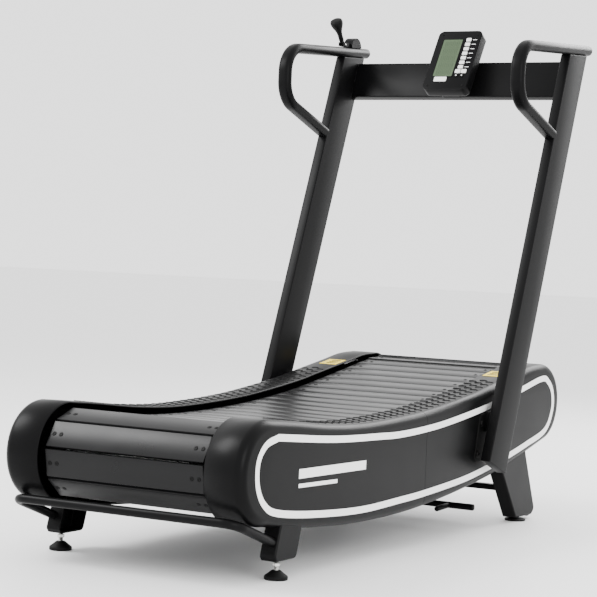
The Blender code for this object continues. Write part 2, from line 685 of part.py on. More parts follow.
def build_feet():
    low_foot = [(0.030, 0.0), (0.0325, 0.002), (0.0325, 0.006), (0.020, 0.009), (0.009, 0.0095),
                (0.009, 0.0122)]
    cone = [(0.027, 0.0), (0.0302, 0.003), (0.0302, 0.009), (0.012, 0.0235), (0.006, 0.0240),
            (0.006, 0.0330), (0.0095, 0.0331), (0.0095, 0.0420), (0.006, 0.0421), (0.006, 0.0477)]
    for side, hand in ((-1, "left"), (1, "right")):
        for word, y, profile in (("rear", REAR_FOOT_Y, cone), ("front", FRONT_FOOT_Y, low_foot)):
            place = (side * FOOT_X, y, 0.0)
            finish(f"{word}_foot_{hand}", turned(profile, "Z", place, 20), "rubber_black", origin=place)


def build_wheels():
    for side, hand in ((-1, "left"), (1, "right")):
        place = (side * 0.3285, 0.800, 0.036)
        profile = [(0.0055, -0.013), (0.026, -0.013), (0.030, -0.009), (0.030, 0.009), (0.026, 0.013),
                   (0.0055, 0.013)]
        finish(f"transport_wheel_{hand}", turned(profile, "X", place, 20, closed=True), "rubber_black",
               origin=place)


def main():
    clear_scene()
    build_rails()
    build_cross_tubes()
    build_legs()
    build_lower_tubes()
    build_lifting_bar()
    build_uprights()
    build_crossbar()
    build_handles()
    build_covers()
    build_belt()
    build_drums()
    build_brake()
    build_lever()
    build_console()
    build_feet()
    build_wheels()
    print(len([o for o in bpy.data.objects if o.type == "MESH"]), "objects")


main()
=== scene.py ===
"""The fine surface of the curved manual treadmill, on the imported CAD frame.

Every sub-assembly is a dataclass that knows its own sizes and builds its pieces through one
Workshop. A piece rides on a CAD body and may stand for CAD nodes. What repeats is laid out by one
Geometry Nodes group, and every finish is a procedural material made by the Finishes class.

Metres, +Z up, +Y towards the console, +X to the user's right, the origin on the floor.
"""

from __future__ import annotations

import logging
import math
from dataclasses import dataclass, field
from enum import Enum
from typing import Any, Iterable, Optional, Sequence, Union

import bmesh
import bpy
from mathutils import Matrix, Vector


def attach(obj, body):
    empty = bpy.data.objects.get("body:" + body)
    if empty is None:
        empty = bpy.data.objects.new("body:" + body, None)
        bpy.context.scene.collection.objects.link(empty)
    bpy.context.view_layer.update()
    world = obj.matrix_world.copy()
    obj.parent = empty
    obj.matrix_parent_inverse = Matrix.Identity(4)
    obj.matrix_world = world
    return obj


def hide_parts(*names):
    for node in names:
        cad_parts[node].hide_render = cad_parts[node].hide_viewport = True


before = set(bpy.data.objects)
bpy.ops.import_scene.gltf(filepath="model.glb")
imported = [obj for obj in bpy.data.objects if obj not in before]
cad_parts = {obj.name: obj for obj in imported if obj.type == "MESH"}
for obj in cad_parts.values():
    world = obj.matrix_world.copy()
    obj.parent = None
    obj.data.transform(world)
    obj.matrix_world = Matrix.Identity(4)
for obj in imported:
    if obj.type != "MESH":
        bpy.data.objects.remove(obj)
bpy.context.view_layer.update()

logging.basicConfig(level=logging.INFO, format="%(name)s: %(message)s")
LOG = logging.getLogger("treadmill")

Point2 = tuple[float, float]
Outline = list[Point2]
Number = Union[int, float]
SIDES = ((-1, "left"), (1, "right"))

UP = Vector((0, 0, 1))
LEAN = math.radians(20.9)
UPRIGHT_REAR_Y = 0.242
HANDLE_FRONT: Point2 = (0.962, 1.4834)
HANDLE_RISE = 0.0615
REAR_DRUM: Point2 = (-0.841, 0.273)
FRONT_DRUM: Point2 = (0.839, 0.363)


# finishes


class Look(Enum):
    """The finishes that pieces are made in."""

    POWDER = "powder_black"
    SHELL = "shell_black"
    SLAT = "slat_grey"
    BAND = "drive_band"
    RUBBER = "rubber_black"
    GRIP = "grip_black"
    ZINC = "zinc"
    ALUMINIUM = "aluminium"
    SCREW = "screw_dark"
    STRIPE = "stripe_white"
    LABEL = "label_yellow"
    KEY = "key_white"
    GLASS = "display_glass"
    INK = "display_ink"
    FLOOR = "floor"


SLOTS: dict[Look, str] = {
    Look.POWDER: "powder_black",
    Look.SHELL: "shell_black",
    Look.SLAT: "slat_grey",
    Look.BAND: "rubber_black",
    Look.RUBBER: "rubber_black",
    Look.GRIP: "rubber_black",
    Look.ZINC: "zinc",
    Look.ALUMINIUM: "aluminium",
    Look.SCREW: "powder_black",
    Look.STRIPE: "key_white",
    Look.KEY: "key_white",
    Look.GLASS: "display_glass",
    Look.INK: "display_glass",
}


@dataclass(frozen=True)
class Finish:
    """How one finish looks.

    Attributes:
        colour: linear base colour.
        roughness: the middle of its roughness.
        metallic: 0 for paint and plastic, 1 for bare metal.
        spread: how far the roughness wanders either way.
        tint: how far the colour wanders, as a share of itself.
        patch: scale of the slow wander, per metre.
        grain: scale of the surface grain, per metre.
        bump: height of the grain, 0 to 1.
        coat: weight of a clear coat.
        stretch: how much the grain is drawn out along X.
        shine: how strongly it mirrors when seen straight on.
    """

    colour: tuple[float, float, float]
    roughness: float
    metallic: float = 0.0
    spread: float = 0.06
    tint: float = 0.15
    patch: float = 9.0
    grain: float = 900.0
    bump: float = 0.10
    coat: float = 0.0
    stretch: float = 1.0
    shine: float = 0.5


FINISHES: dict[Look, Finish] = {
    Look.POWDER: Finish((0.0028, 0.0028, 0.0030), 0.36, spread=0.05, grain=1400.0, bump=0.12, shine=0.07),
    Look.SHELL: Finish((0.0028, 0.0028, 0.0030), 0.34, spread=0.05, grain=1100.0, bump=0.08, shine=0.06),
    Look.SLAT: Finish((0.0045, 0.0045, 0.0048), 0.30, spread=0.06, grain=700.0, bump=0.08, stretch=0.1,
                      shine=0.16),
    Look.BAND: Finish((0.0020, 0.0020, 0.0020), 0.70, shine=0.05),
    Look.RUBBER: Finish((0.0030, 0.0030, 0.0030), 0.58, spread=0.08, grain=800.0, bump=0.18, shine=0.10),
    Look.GRIP: Finish((0.0028, 0.0028, 0.0030), 0.38, spread=0.05, grain=1200.0, bump=0.10, shine=0.06),
    Look.ZINC: Finish((0.56, 0.56, 0.54), 0.30, 1.0, spread=0.10, grain=500.0, bump=0.05),
    Look.ALUMINIUM: Finish((0.50, 0.50, 0.51), 0.34, 1.0, spread=0.08, grain=600.0, bump=0.05),
    Look.SCREW: Finish((0.003, 0.003, 0.003), 0.45, spread=0.05, shine=0.10),
    Look.STRIPE: Finish((0.93, 0.93, 0.92), 0.42, tint=0.02, bump=0.02),
    Look.LABEL: Finish((0.90, 0.66, 0.0), 0.45, tint=0.05, bump=0.02),
    Look.KEY: Finish((0.78, 0.78, 0.76), 0.40, tint=0.03, bump=0.03),
    Look.GLASS: Finish((0.050, 0.078, 0.040), 0.30, tint=0.05, bump=0.0, coat=0.15, shine=0.2),
    Look.INK: Finish((0.030, 0.045, 0.028), 0.40, tint=0.05, bump=0.0, shine=0.1),
    Look.FLOOR: Finish((0.86, 0.86, 0.86), 0.55, spread=0.02, tint=0.01, patch=1.0, bump=0.0),
}


class Sock:
    """A shader value that can be added, multiplied and mixed with others.

    Args:
        graph: the graph that the value belongs to.
        socket: the output socket that carries it.
    """

    def __init__(self, graph: "Graph", socket: bpy.types.NodeSocket) -> None:
        """Keep the graph and the socket."""
        self.graph = graph
        self.socket = socket

    def _math(self, operation: str, other: Union["Sock", Number], swap: bool = False) -> "Sock":
        """A Math node of this value and another.

        Args:
            operation: the Math node's operation.
            other: the second value.
            swap: whether the other value comes first.

        Returns:
            The node's result.
        """
        pair = (other, self) if swap else (self, other)
        return self.graph.node("ShaderNodeMath", {"operation": operation}, {0: pair[0], 1: pair[1]})

    def __add__(self, other: Union["Sock", Number]) -> "Sock":
        """The sum."""
        return self._math("ADD", other)

    __radd__ = __add__

    def __sub__(self, other: Union["Sock", Number]) -> "Sock":
        """The difference."""
        return self._math("SUBTRACT", other)

    def __rsub__(self, other: Union["Sock", Number]) -> "Sock":
        """The difference, with this value taken away."""
        return self._math("SUBTRACT", other, swap=True)

    def __mul__(self, other: Union["Sock", Number]) -> "Sock":
        """The product."""
        return self._math("MULTIPLY", other)

    __rmul__ = __mul__


class Graph:
    """A material's node tree, filled through a single node-making method.

    Args:
        name: the material's name.
    """

    def __init__(self, name: str) -> None:
        """Start an empty material."""
        self.material = bpy.data.materials.new(name)
        self.material.use_nodes = True
        self.tree = self.material.node_tree
        self.tree.nodes.clear()

    def node(self, kind: str, settings: Optional[dict[str, Any]] = None,
             inputs: Optional[dict[Any, Any]] = None, output: Union[int, str] = 0) -> Sock:
        """Make a node, set it and link it.

        Args:
            kind: the node's type.
            settings: its properties.
            inputs: values or Socks by input name or index.
            output: the output wanted.

        Returns:
            That output.
        """
        made = self.tree.nodes.new(kind)
        for name, value in (settings or {}).items():
            setattr(made, name, value)
        for key, value in (inputs or {}).items():
            if isinstance(value, Sock):
                self.tree.links.new(value.socket, made.inputs[key])
            else:
                made.inputs[key].default_value = value
        return Sock(self, made.outputs[output]) if made.outputs else Sock(self, None)


class Finishes:
    """Makes each finish once."""

    def __init__(self) -> None:
        """Start with none made."""
        self._made: dict[Look, bpy.types.Material] = {}

    def get(self, look: Look) -> bpy.types.Material:
        """The material of a finish.

        Args:
            look: the finish wanted.

        Returns:
            Its material.
        """
        if look not in self._made:
            self._made[look] = self._build(look.value + "_fine", FINISHES[look])
        return self._made[look]

    @staticmethod
    def _build(name: str, finish: Finish) -> bpy.types.Material:
        """The procedural material of a finish.

        Args:
            name: the material's name.
            finish: how it looks.

        Returns:
            The material.
        """
        graph = Graph(name)
        place = graph.node("ShaderNodeTexCoord", output="Object")
        drawn = graph.node("ShaderNodeMapping", {}, {"Vector": place, "Scale": (finish.stretch, 1.0, 1.0)})
        slow = graph.node("ShaderNodeTexNoise", {}, {"Vector": place, "Scale": finish.patch, "Detail": 3.0})
        fine = graph.node("ShaderNodeTexNoise", {}, {"Vector": drawn, "Scale": finish.grain, "Detail": 2.0})
        wander = slow * 2.0 - 1.0
        rough = wander * finish.spread + finish.roughness
        dark = tuple(c * (1 - finish.tint) for c in finish.colour) + (1.0,)
        light = tuple(c * (1 + finish.tint) for c in finish.colour) + (1.0,)
        colour = graph.node("ShaderNodeMix", {"data_type": "RGBA"}, {0: slow, 6: dark, 7: light}, output=2)
        values: dict[Any, Any] = {"Base Color": colour, "Roughness": rough, "Metallic": finish.metallic,
                                  "Coat Weight": finish.coat, "Specular IOR Level": finish.shine}
        if finish.bump:
            values["Normal"] = graph.node("ShaderNodeBump", {}, {"Strength": finish.bump, "Height": fine,
                                                                 "Distance": 0.0004})
        shader = graph.node("ShaderNodeBsdfPrincipled", {}, values)
        graph.node("ShaderNodeOutputMaterial", {}, {"Surface": shader})
        return graph.material


# shapes


class Shape:
    """Outlines and skins, all in the machine's own places."""

    @staticmethod
    def curve(points: Sequence[Point2], steps: int) -> Outline:
        """A Catmull-Rom curve through points.

        Args:
            points: the places it passes.
            steps: pieces between two places.

        Returns:
            The points of the curve, both ends included.
        """
        first = tuple(2 * a - b for a, b in zip(points[0], points[1]))
        last = tuple(2 * a - b for a, b in zip(points[-1], points[-2]))
        guide = [first, *points, last]
        made: Outline = []
        for i in range(1, len(guide) - 2):
            a, b, c, d = (Vector(guide[i + k]) for k in (-1, 0, 1, 2))
            for k in range(steps):
                t = k / steps
                place = 0.5 * (2 * b + (c - a) * t + (2 * a - 5 * b + 4 * c - d) * t**2
                               + (3 * b - a - 3 * c + d) * t**3)
                made.append((place[0], place[1]))
        return made + [tuple(points[-1])]

    @staticmethod
    def arc(centre: Point2, radius: float, start: float, end: float, steps: int) -> Outline:
        """Points on an arc.

        Args:
            centre: its centre.
            radius: its radius.
            start: first angle in degrees, from +Y towards +Z.
            end: last angle.
            steps: number of pieces.

        Returns:
            The points, both ends included.
        """
        turns = [math.radians(start + (end - start) * k / steps) for k in range(steps + 1)]
        return [(centre[0] + radius * math.cos(a), centre[1] + radius * math.sin(a)) for a in turns]

    @staticmethod
    def inset(outline: Sequence[Point2], depth: float) -> Outline:
        """A clockwise outline moved inwards.

        Args:
            outline: the outline.
            depth: how far it moves.

        Returns:
            The moved outline, point for point.
        """
        moved: Outline = []
        count = len(outline)
        for i in range(count):
            before, here, after = (Vector(outline[(i + k) % count]) for k in (-1, 0, 1))
            ways = [(here - before).normalized(), (after - here).normalized()]
            normals = [Vector((way[1], -way[0])) for way in ways]
            middle = (normals[0] + normals[1]).normalized()
            place = here + middle * depth / max(middle.dot(normals[0]), 0.3)
            moved.append((place[0], place[1]))
        return moved

    @staticmethod
    def rounded(corners: Sequence[Point2], radius: float, steps: int = 5) -> Outline:
        """A polygon with rounded corners.

        Args:
            corners: its corners.
            radius: the radius wanted.
            steps: pieces in each corner.

        Returns:
            The rounded outline.
        """
        made: Outline = []
        count = len(corners)
        for i in range(count):
            before, here, after = (Vector(corners[(i + k) % count]) for k in (-1, 0, 1))
            a, b = (before - here).normalized(), (after - here).normalized()
            half = a.angle(b) / 2
            reach = min(radius / math.tan(half), 0.45 * min((before - here).length, (after - here).length))
            centre = here + (a + b).normalized() * reach / math.cos(half)
            first, last = here + a * reach - centre, here + b * reach - centre
            for k in range(steps + 1):
                spoke = first.lerp(last, k / steps).normalized() * first.length
                made.append((centre[0] + spoke[0], centre[1] + spoke[1]))
        return made

    @staticmethod
    def rectangle(centre: Point2, size: Point2, radius: float, steps: int = 5) -> Outline:
        """A rounded rectangle.

        Args:
            centre: its middle.
            size: its width and height.
            radius: its corner radius.
            steps: pieces in each corner.

        Returns:
            Its outline.
        """
        (a, b), (w, h) = centre, (size[0] / 2, size[1] / 2)
        return Shape.rounded([(a - w, b - h), (a - w, b + h), (a + w, b + h), (a + w, b - h)], radius, steps)

    @staticmethod
    def loft(rings: Sequence[Sequence[Iterable[float]]], ends: bool = True,
             around: bool = True) -> bmesh.types.BMesh:
        """A skin through rings of equal length.

        Args:
            rings: the rings, in order.
            ends: whether both ends are closed by a face.
            around: whether each ring is closed.

        Returns:
            The skin.
        """
        bm = bmesh.new()
        rows = [[bm.verts.new(place) for place in ring] for ring in rings]
        size = len(rows[0])
        for low, high in zip(rows, rows[1:]):
            for i in range(size if around else size - 1):
                j = (i + 1) % size
                bm.faces.new((low[i], low[j], high[j], high[i]))
        if ends:
            bm.faces.new(rows[0])
            bm.faces.new(rows[-1])
        bmesh.ops.recalc_face_normals(bm, faces=bm.faces)
        return bm

    @staticmethod
    def slab(outline: Sequence[Point2], x0: float, x1: float, edge: float = 0.0015) -> bmesh.types.BMesh:
        """A side-view outline given a thickness, with softened edges.

        Args:
            outline: clockwise outline (y, z).
            x0: one face.
            x1: the other face.
            edge: width of the softened edge.

        Returns:
            The slab.
        """
        way = 1 if x1 > x0 else -1
        rings = []
        for turn in (0, 30, 60, 90):
            a = math.radians(turn)
            soft = Shape.inset(outline, edge * (1 - math.sin(a)))
            rings.append([(x0 + way * edge * (1 - math.cos(a)), y, z) for y, z in soft])
        for turn in (90, 60, 30, 0):
            a = math.radians(turn)
            soft = Shape.inset(outline, edge * (1 - math.sin(a)))
            rings.append([(x1 - way * edge * (1 - math.cos(a)), y, z) for y, z in soft])
        return Shape.loft(rings)

    @staticmethod
    def lathe(profile: Sequence[Point2], axis: Vector, centre: Vector,
              segments: int = 40) -> bmesh.types.BMesh:
        """A body of revolution.

        Args:
            profile: (radius, place along the axis) pairs.
            axis: the axis.
            centre: where the axis starts.
            segments: facets round it.

        Returns:
            The body.
        """
        ahead = axis.normalized()
        side = ahead.orthogonal().normalized()
        up = ahead.cross(side)
        rings = []
        for radius, along in profile:
            turns = [2 * math.pi * k / segments for k in range(segments)]
            rings.append([centre + ahead * along + (side * math.cos(a) + up * math.sin(a)) * radius
                          for a in turns])
        return Shape.loft(rings)

    @staticmethod
    def bend(points: Sequence[Sequence[float]], radius: float, steps: int = 12) -> list[Vector]:
        """A path with its corners bent.

        Args:
            points: the path's corners.
            radius: the bend radius.
            steps: pieces in each bend.

        Returns:
            The path.
        """
        path = [Vector(points[0])]
        for before, here, after in zip(points, points[1:], points[2:]):
            corner = Vector(here)
            a, b = (Vector(before) - corner).normalized(), (Vector(after) - corner).normalized()
            half = a.angle(b) / 2
            reach = radius / math.tan(half)
            centre = corner + (a + b).normalized() * radius / math.sin(half)
            first, last = corner + a * reach - centre, corner + b * reach - centre
            for k in range(steps + 1):
                path.append(centre + first.lerp(last, k / steps).normalized() * radius)
        return path + [Vector(points[-1])]

    @staticmethod
    def bar(path: Sequence[Vector], radius: float, segments: int = 20, cap: float = 0.0) -> bmesh.types.BMesh:
        """A round bar along a path.

        Args:
            path: its centre line.
            radius: its radius.
            segments: facets round it.
            cap: how far its round ends reach past the path.

        Returns:
            The bar.
        """
        rings = []
        last = len(path) - 1
        for i, place in enumerate(path):
            ahead = (path[min(i + 1, last)] - path[max(i - 1, 0)]).normalized()
            side = ahead.cross(UP).normalized()
            up = side.cross(ahead)
            turns = [2 * math.pi * k / segments for k in range(segments)]
            ring = [(side * math.cos(a) + up * math.sin(a)) * radius for a in turns]
            if cap and i in (0, last):
                way = -ahead if i == 0 else ahead
                domes = [[place + way * cap * s + spoke * c for spoke in ring]
                         for s, c in ((0.0, 1.0), (0.5, 0.87), (0.87, 0.5), (1.0, 0.1))]
                rings += domes[::-1] if i == 0 else domes
            else:
                rings.append([place + spoke for spoke in ring])
        return Shape.loft(rings)

    @staticmethod
    def box(low: Sequence[float], high: Sequence[float], edge: float = 0.0) -> bmesh.types.BMesh:
        """A box, with bevelled edges if asked.

        Args:
            low: lowest corner.
            high: highest corner.
            edge: bevel width.

        Returns:
            The box.
        """
        bm = bmesh.new()
        bmesh.ops.create_cube(bm, size=1.0)
        for vert in bm.verts:
            vert.co = Vector([low[k] if vert.co[k] < 0 else high[k] for k in range(3)])
        if edge:
            bmesh.ops.bevel(bm, geom=list(bm.edges), offset=edge, segments=2, affect="EDGES", profile=0.6)
        return bm

    @staticmethod
    def join(parts: Iterable[bmesh.types.BMesh]) -> bmesh.types.BMesh:
        """Several skins in one mesh.

        Args:
            parts: the skins, which are used up.

        Returns:
            The mesh that holds them all.
        """
        whole = bmesh.new()
        for part in parts:
            mesh = bpy.data.meshes.new("part")
            part.to_mesh(mesh)
            part.free()
            whole.from_mesh(mesh)
            bpy.data.meshes.remove(mesh)
        return whole


# the workshop


@dataclass
class Workshop:
    """Makes pieces, gives them finishes and puts them on their bodies."""

    finishes: Finishes = field(default_factory=Finishes)
    count: int = 0

    def piece(self, name: str, skin: Union[bmesh.types.BMesh, bpy.types.Mesh], look: Look, body: str,
              stands_for: Sequence[str] = (), angle: float = 35.0) -> bpy.types.Object:
        """Make one piece.

        Args:
            name: its name.
            skin: its shape, in the machine's places.
            look: its finish.
            body: the CAD body it rides on.
            stands_for: the CAD nodes it replaces.
            angle: edges sharper than this stay sharp.

        Returns:
            The piece.
        """
        if isinstance(skin, bpy.types.Mesh):
            mesh = skin
        else:
            mesh = bpy.data.meshes.new(name)
            skin.to_mesh(mesh)
            skin.free()
        mesh.shade_smooth()
        mesh.set_sharp_from_angle(angle=math.radians(angle))
        mesh.materials.clear()
        mesh.materials.append(self.finishes.get(look))
        made = bpy.data.objects.new(name, mesh)
        bpy.context.scene.collection.objects.link(made)
        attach(made, body)
        look in SLOTS
        if stands_for:
            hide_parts(*stands_for)
        self.count += 1
        LOG.info("%s: %d faces, %s, on %s", name, len(mesh.polygons), look.value, body)
        return made

    def dress(self, look: Look, *nodes: str) -> None:
        """Give kept CAD nodes a finish.

        Args:
            look: the finish.
            nodes: the nodes' names.
        """
        for name in nodes:
            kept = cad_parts[name]
            kept.data.shade_smooth()
            kept.data.set_sharp_from_angle(angle=math.radians(30))
            kept.data.materials.clear()
            kept.data.materials.append(self.finishes.get(look))


class Repeater:
    """A Geometry Nodes group that sets copies of an item along a path."""

    def __init__(self) -> None:
        """Build the node group."""
        self.group = bpy.data.node_groups.new("repeat_along_path", "GeometryNodeTree")
        face = self.group.interface
        face.new_socket("Path", in_out="INPUT", socket_type="NodeSocketGeometry")
        face.new_socket("Item", in_out="INPUT", socket_type="NodeSocketObject")
        face.new_socket("Count", in_out="INPUT", socket_type="NodeSocketInt")
        face.new_socket("Size Jitter", in_out="INPUT", socket_type="NodeSocketFloat")
        face.new_socket("Seed", in_out="INPUT", socket_type="NodeSocketInt")
        face.new_socket("Finish", in_out="INPUT", socket_type="NodeSocketMaterial")
        face.new_socket("Geometry", in_out="OUTPUT", socket_type="NodeSocketGeometry")
        source = self._node("NodeGroupInput", {})
        curve = self._node("GeometryNodeMeshToCurve", {0: source.outputs["Path"]})
        spaced = self._node("GeometryNodeResampleCurve", {"Curve": curve.outputs[0],
                                                          "Count": source.outputs["Count"]})
        tangent = self._node("GeometryNodeInputTangent", {})
        turned = self._node("FunctionNodeAlignRotationToVector", {"Vector": tangent.outputs[0]},
                            axis="Y", pivot_axis="X")
        item = self._node("GeometryNodeObjectInfo", {"Object": source.outputs["Item"]})
        least = self._node("ShaderNodeMath", {0: 1.0, 1: source.outputs["Size Jitter"]}, operation="SUBTRACT")
        scale = self._node("FunctionNodeRandomValue", {2: least.outputs[0], 3: 1.0,
                                                       "Seed": source.outputs["Seed"]}, data_type="FLOAT")
        copies = self._node("GeometryNodeInstanceOnPoints", {
            "Points": spaced.outputs[0], "Instance": item.outputs["Geometry"],
            "Rotation": turned.outputs[0], "Scale": scale.outputs[1]})
        real = self._node("GeometryNodeRealizeInstances", {0: copies.outputs[0]})
        finished = self._node("GeometryNodeSetMaterial", {"Geometry": real.outputs[0],
                                                          "Material": source.outputs["Finish"]})
        self._node("NodeGroupOutput", {0: finished.outputs[0]})

    def _node(self, kind: str, inputs: dict[Any, Any], **settings: Any) -> bpy.types.Node:
        """Make a node of the group and link it.

        Args:
            kind: the node's type.
            inputs: values or output sockets by input.
            settings: the node's properties.

        Returns:
            The node.
        """
        made = self.group.nodes.new(kind)
        for name, value in settings.items():
            setattr(made, name, value)
        for key, value in inputs.items():
            if isinstance(value, bpy.types.NodeSocket):
                self.group.links.new(value, made.inputs[key])
            else:
                made.inputs[key].default_value = value
        return made

    def run(self, path: Sequence[Sequence[float]], closed: bool, item: bmesh.types.BMesh, count: int,
            finish: bpy.types.Material, jitter: float = 0.0, seed: int = 7) -> bpy.types.Mesh:
        """Set copies of an item along a path.

        Args:
            path: the path's places.
            closed: whether it returns to its start.
            item: the item, on its own axes with +Y along the path and +Z outwards.
            count: number of copies.
            finish: the copies' material.
            jitter: how much smaller a copy may be.
            seed: seed of that.

        Returns:
            A plain mesh of all copies.
        """
        mesh = bpy.data.meshes.new("path")
        links = [(i, i + 1) for i in range(len(path) - 1)]
        if closed:
            links.append((len(path) - 1, 0))
        mesh.from_pydata([tuple(p) for p in path], links, [])
        host = bpy.data.objects.new("path", mesh)
        shape = bpy.data.meshes.new("item")
        item.to_mesh(shape)
        item.free()
        model = bpy.data.objects.new("item", shape)
        for made in (host, model):
            bpy.context.scene.collection.objects.link(made)
        step = host.modifiers.new("repeat", "NODES")
        step.node_group = self.group
        names = {s.name: s.identifier for s in self.group.interface.items_tree if s.in_out == "INPUT"}
        step[names["Item"]] = model
        step[names["Count"]] = count
        step[names["Size Jitter"]] = jitter
        step[names["Seed"]] = seed
        step[names["Finish"]] = finish
        bpy.context.view_layer.update()
        real = bpy.data.meshes.new_from_object(host.evaluated_get(bpy.context.evaluated_depsgraph_get()))
        for made in (host, model):
            bpy.data.objects.remove(made, do_unlink=True)
        return real


# sub-assemblies


@dataclass
class SideCovers:
    """The four side covers, their stripe, tread and labels."""

    shop: Workshop
    repeater: Repeater
    inner: float = 0.250
    outer: float = 0.360
    wall: float = 0.004
    edge: float = 0.026
    joint: float = 0.0155
    stripe_width: float = 0.0180
    tread_columns: tuple[float, ...] = (0.266, 0.2935, 0.321)
    tread_span: Point2 = (-0.700, 0.515)
    label_ends: Point2 = (0.590, 0.660)
    label_bars: tuple[float, ...] = (0.604, 0.622, 0.640)
    top: tuple[Point2, ...] = ((-0.841, 0.405), (-0.711, 0.394), (-0.5345, 0.3765), (-0.348, 0.3675),
                               (-0.150, 0.371), (0.027, 0.380), (0.177, 0.394), (0.357, 0.415),
                               (0.466, 0.4325), (0.647, 0.461), (0.760, 0.4795), (0.851, 0.484))
    bottom: tuple[Point2, ...] = ((0.8826, 0.2442), (0.700, 0.203), (0.500, 0.163), (0.300, 0.136),
                                  (0.100, 0.1155), (-0.080, 0.104), (-0.270, 0.1005), (-0.450, 0.105),
                                  (-0.666, 0.1204), (-0.841, 0.141))
    stripe: tuple[Point2, ...] = ((-0.808, 0.360), (-0.514, 0.337), (-0.255, 0.328), (-0.153, 0.326),
                                  (0.001, 0.331), (0.162, 0.343), (0.418, 0.373), (0.655, 0.412),
                                  (0.8185, 0.440), (0.872, 0.428), (0.908, 0.392), (0.910, 0.335),
                                  (0.8575, 0.275), (0.713, 0.240), (0.585, 0.215), (0.4365, 0.190),
                                  (0.264, 0.168), (0.019, 0.151), (-0.136, 0.145), (-0.363, 0.140),
                                  (-0.603, 0.152), (-0.793, 0.172), (-0.862, 0.197), (-0.898, 0.245),
                                  (-0.900, 0.305), (-0.866, 0.345))

    def build(self) -> None:
        """Make the covers and everything on them."""
        for side, word in SIDES:
            for part in ("rear", "front"):
                name = f"{part}_cover_{word}"
                self.shop.piece(f"{name}_shell", self._panel(side, part), Look.SHELL, "frame", (name,), 50)
            self.shop.piece(f"stripe_{word}", self._stripe(side), Look.STRIPE, "frame")
            self.shop.piece(f"side_mark_{word}", self._mark(side), Look.STRIPE, "frame")
            self.shop.piece(f"step_tread_{word}", self._tread(side), Look.RUBBER, "frame")
            patch = self._label(side, 0.256, 0.318, *self.label_ends, 0.0006)
            self.shop.piece(f"step_label_{word}", patch, Look.LABEL, "frame")
            bars = [self._label(side, 0.266, 0.300, y, y + 0.008, 0.0009) for y in self.label_bars]
            self.shop.piece(f"step_label_bars_{word}", Shape.join(bars), Look.RUBBER, "frame")

    def outline(self) -> Outline:
        """The covers' clockwise outline."""
        fine = 8
        front = Shape.arc((0.851, 0.362), 0.122, 90, -75, 8 * fine)
        rear = Shape.arc(REAR_DRUM, 0.132, 270, 90, 8 * fine)
        return (Shape.curve(self.top, fine)[:-1] + front + Shape.curve(self.bottom, fine)[1:-1] + rear[:-1])

    def _panel(self, side: int, part: str) -> bmesh.types.BMesh:
        """One panel: the shell, cut at the joint.

        Args:
            side: -1 left, 1 right.
            part: rear or front.

        Returns:
            The panel.
        """
        outline = self.outline()
        rings = []
        for turn in range(90, -1, -10):
            a = math.radians(turn)
            soft = Shape.inset(outline, self.edge * (1 - math.cos(a)))
            x = side * (self.outer - self.edge * (1 - math.sin(a)))
            rings.append([(x, y, z) for y, z in soft])
        rings.append([(side * (self.inner + 0.0015), y, z) for y, z in outline])
        rings.append([(side * self.inner, y, z) for y, z in Shape.inset(outline, 0.0015)])
        rings.append([(side * self.inner, y, z) for y, z in Shape.inset(outline, self.wall)])
        soft = self.edge - self.wall
        for turn in (0, 30, 60, 90):
            a = math.radians(turn)
            inside = Shape.inset(outline, self.wall + soft * (1 - math.cos(a)))
            x = side * (self.outer - self.wall - soft * (1 - math.sin(a)))
            rings.append([(x, y, z) for y, z in inside])
        bm = Shape.loft(rings[::-1])
        keep = -1 if part == "rear" else 1
        geometry = list(bm.verts) + list(bm.edges) + list(bm.faces)
        cut = bmesh.ops.bisect_plane(bm, geom=geometry, plane_co=(0, self.joint + keep * 0.0006, 0),
                                     plane_no=(0, -keep, 0), clear_outer=True)
        edges = [e for e in cut["geom_cut"] if isinstance(e, bmesh.types.BMEdge)]
        bmesh.ops.contextual_create(bm, geom=edges)
        bmesh.ops.recalc_face_normals(bm, faces=bm.faces)
        return bm

    def _ribbon(self, side: int, line: Sequence[Point2], width: float, closed: bool) -> bmesh.types.BMesh:
        """A flat ribbon on the outer face.

        Args:
            side: -1 left, 1 right.
            line: its middle.
            width: its width.
            closed: whether it runs round.

        Returns:
            The ribbon, with a small thickness.
        """
        count = len(line)
        rings = []
        for i, place in enumerate(line):
            before = line[i - 1] if closed or i else line[i]
            after = line[(i + 1) % count] if closed or i < count - 1 else line[i]
            way = (Vector(after) - Vector(before)).normalized()
            off = Vector((-way[1], way[0])) * width / 2
            low, high = Vector(place) - off, Vector(place) + off
            rings.append([(side * (self.outer - 0.0005), *low), (side * (self.outer + 0.0005), *low),
                          (side * (self.outer + 0.0005), *high), (side * (self.outer - 0.0005), *high)])
        if closed:
            rings.append(rings[0])
        bm = Shape.loft(rings, ends=not closed)
        bmesh.ops.remove_doubles(bm, verts=bm.verts, dist=1e-6)
        bmesh.ops.recalc_face_normals(bm, faces=bm.faces)
        return bm

    def _stripe(self, side: int) -> bmesh.types.BMesh:
        """The white line round the outer face."""
        line = Shape.curve(list(self.stripe) + [self.stripe[0]], 8)[:-1]
        return self._ribbon(side, line, self.stripe_width, True)

    def _mark(self, side: int) -> bmesh.types.BMesh:
        """A plain mark of bars in place of lettering."""
        bars = []
        for z, start, end, width in ((0.262, -0.700, -0.345, 0.024), (0.232, -0.700, -0.500, 0.010)):
            bars.append(self._ribbon(side, [(start, z), (end, z - 0.004)], width, False))
        return Shape.join(bars)

    def surface(self, y: float) -> float:
        """Height of the step at y."""
        line = Shape.curve(self.top, 6)
        for (y0, z0), (y1, z1) in zip(line, line[1:]):
            if y0 <= y <= y1:
                return z0 + (z1 - z0) * (y - y0) / (y1 - y0)
        return line[-1][1]

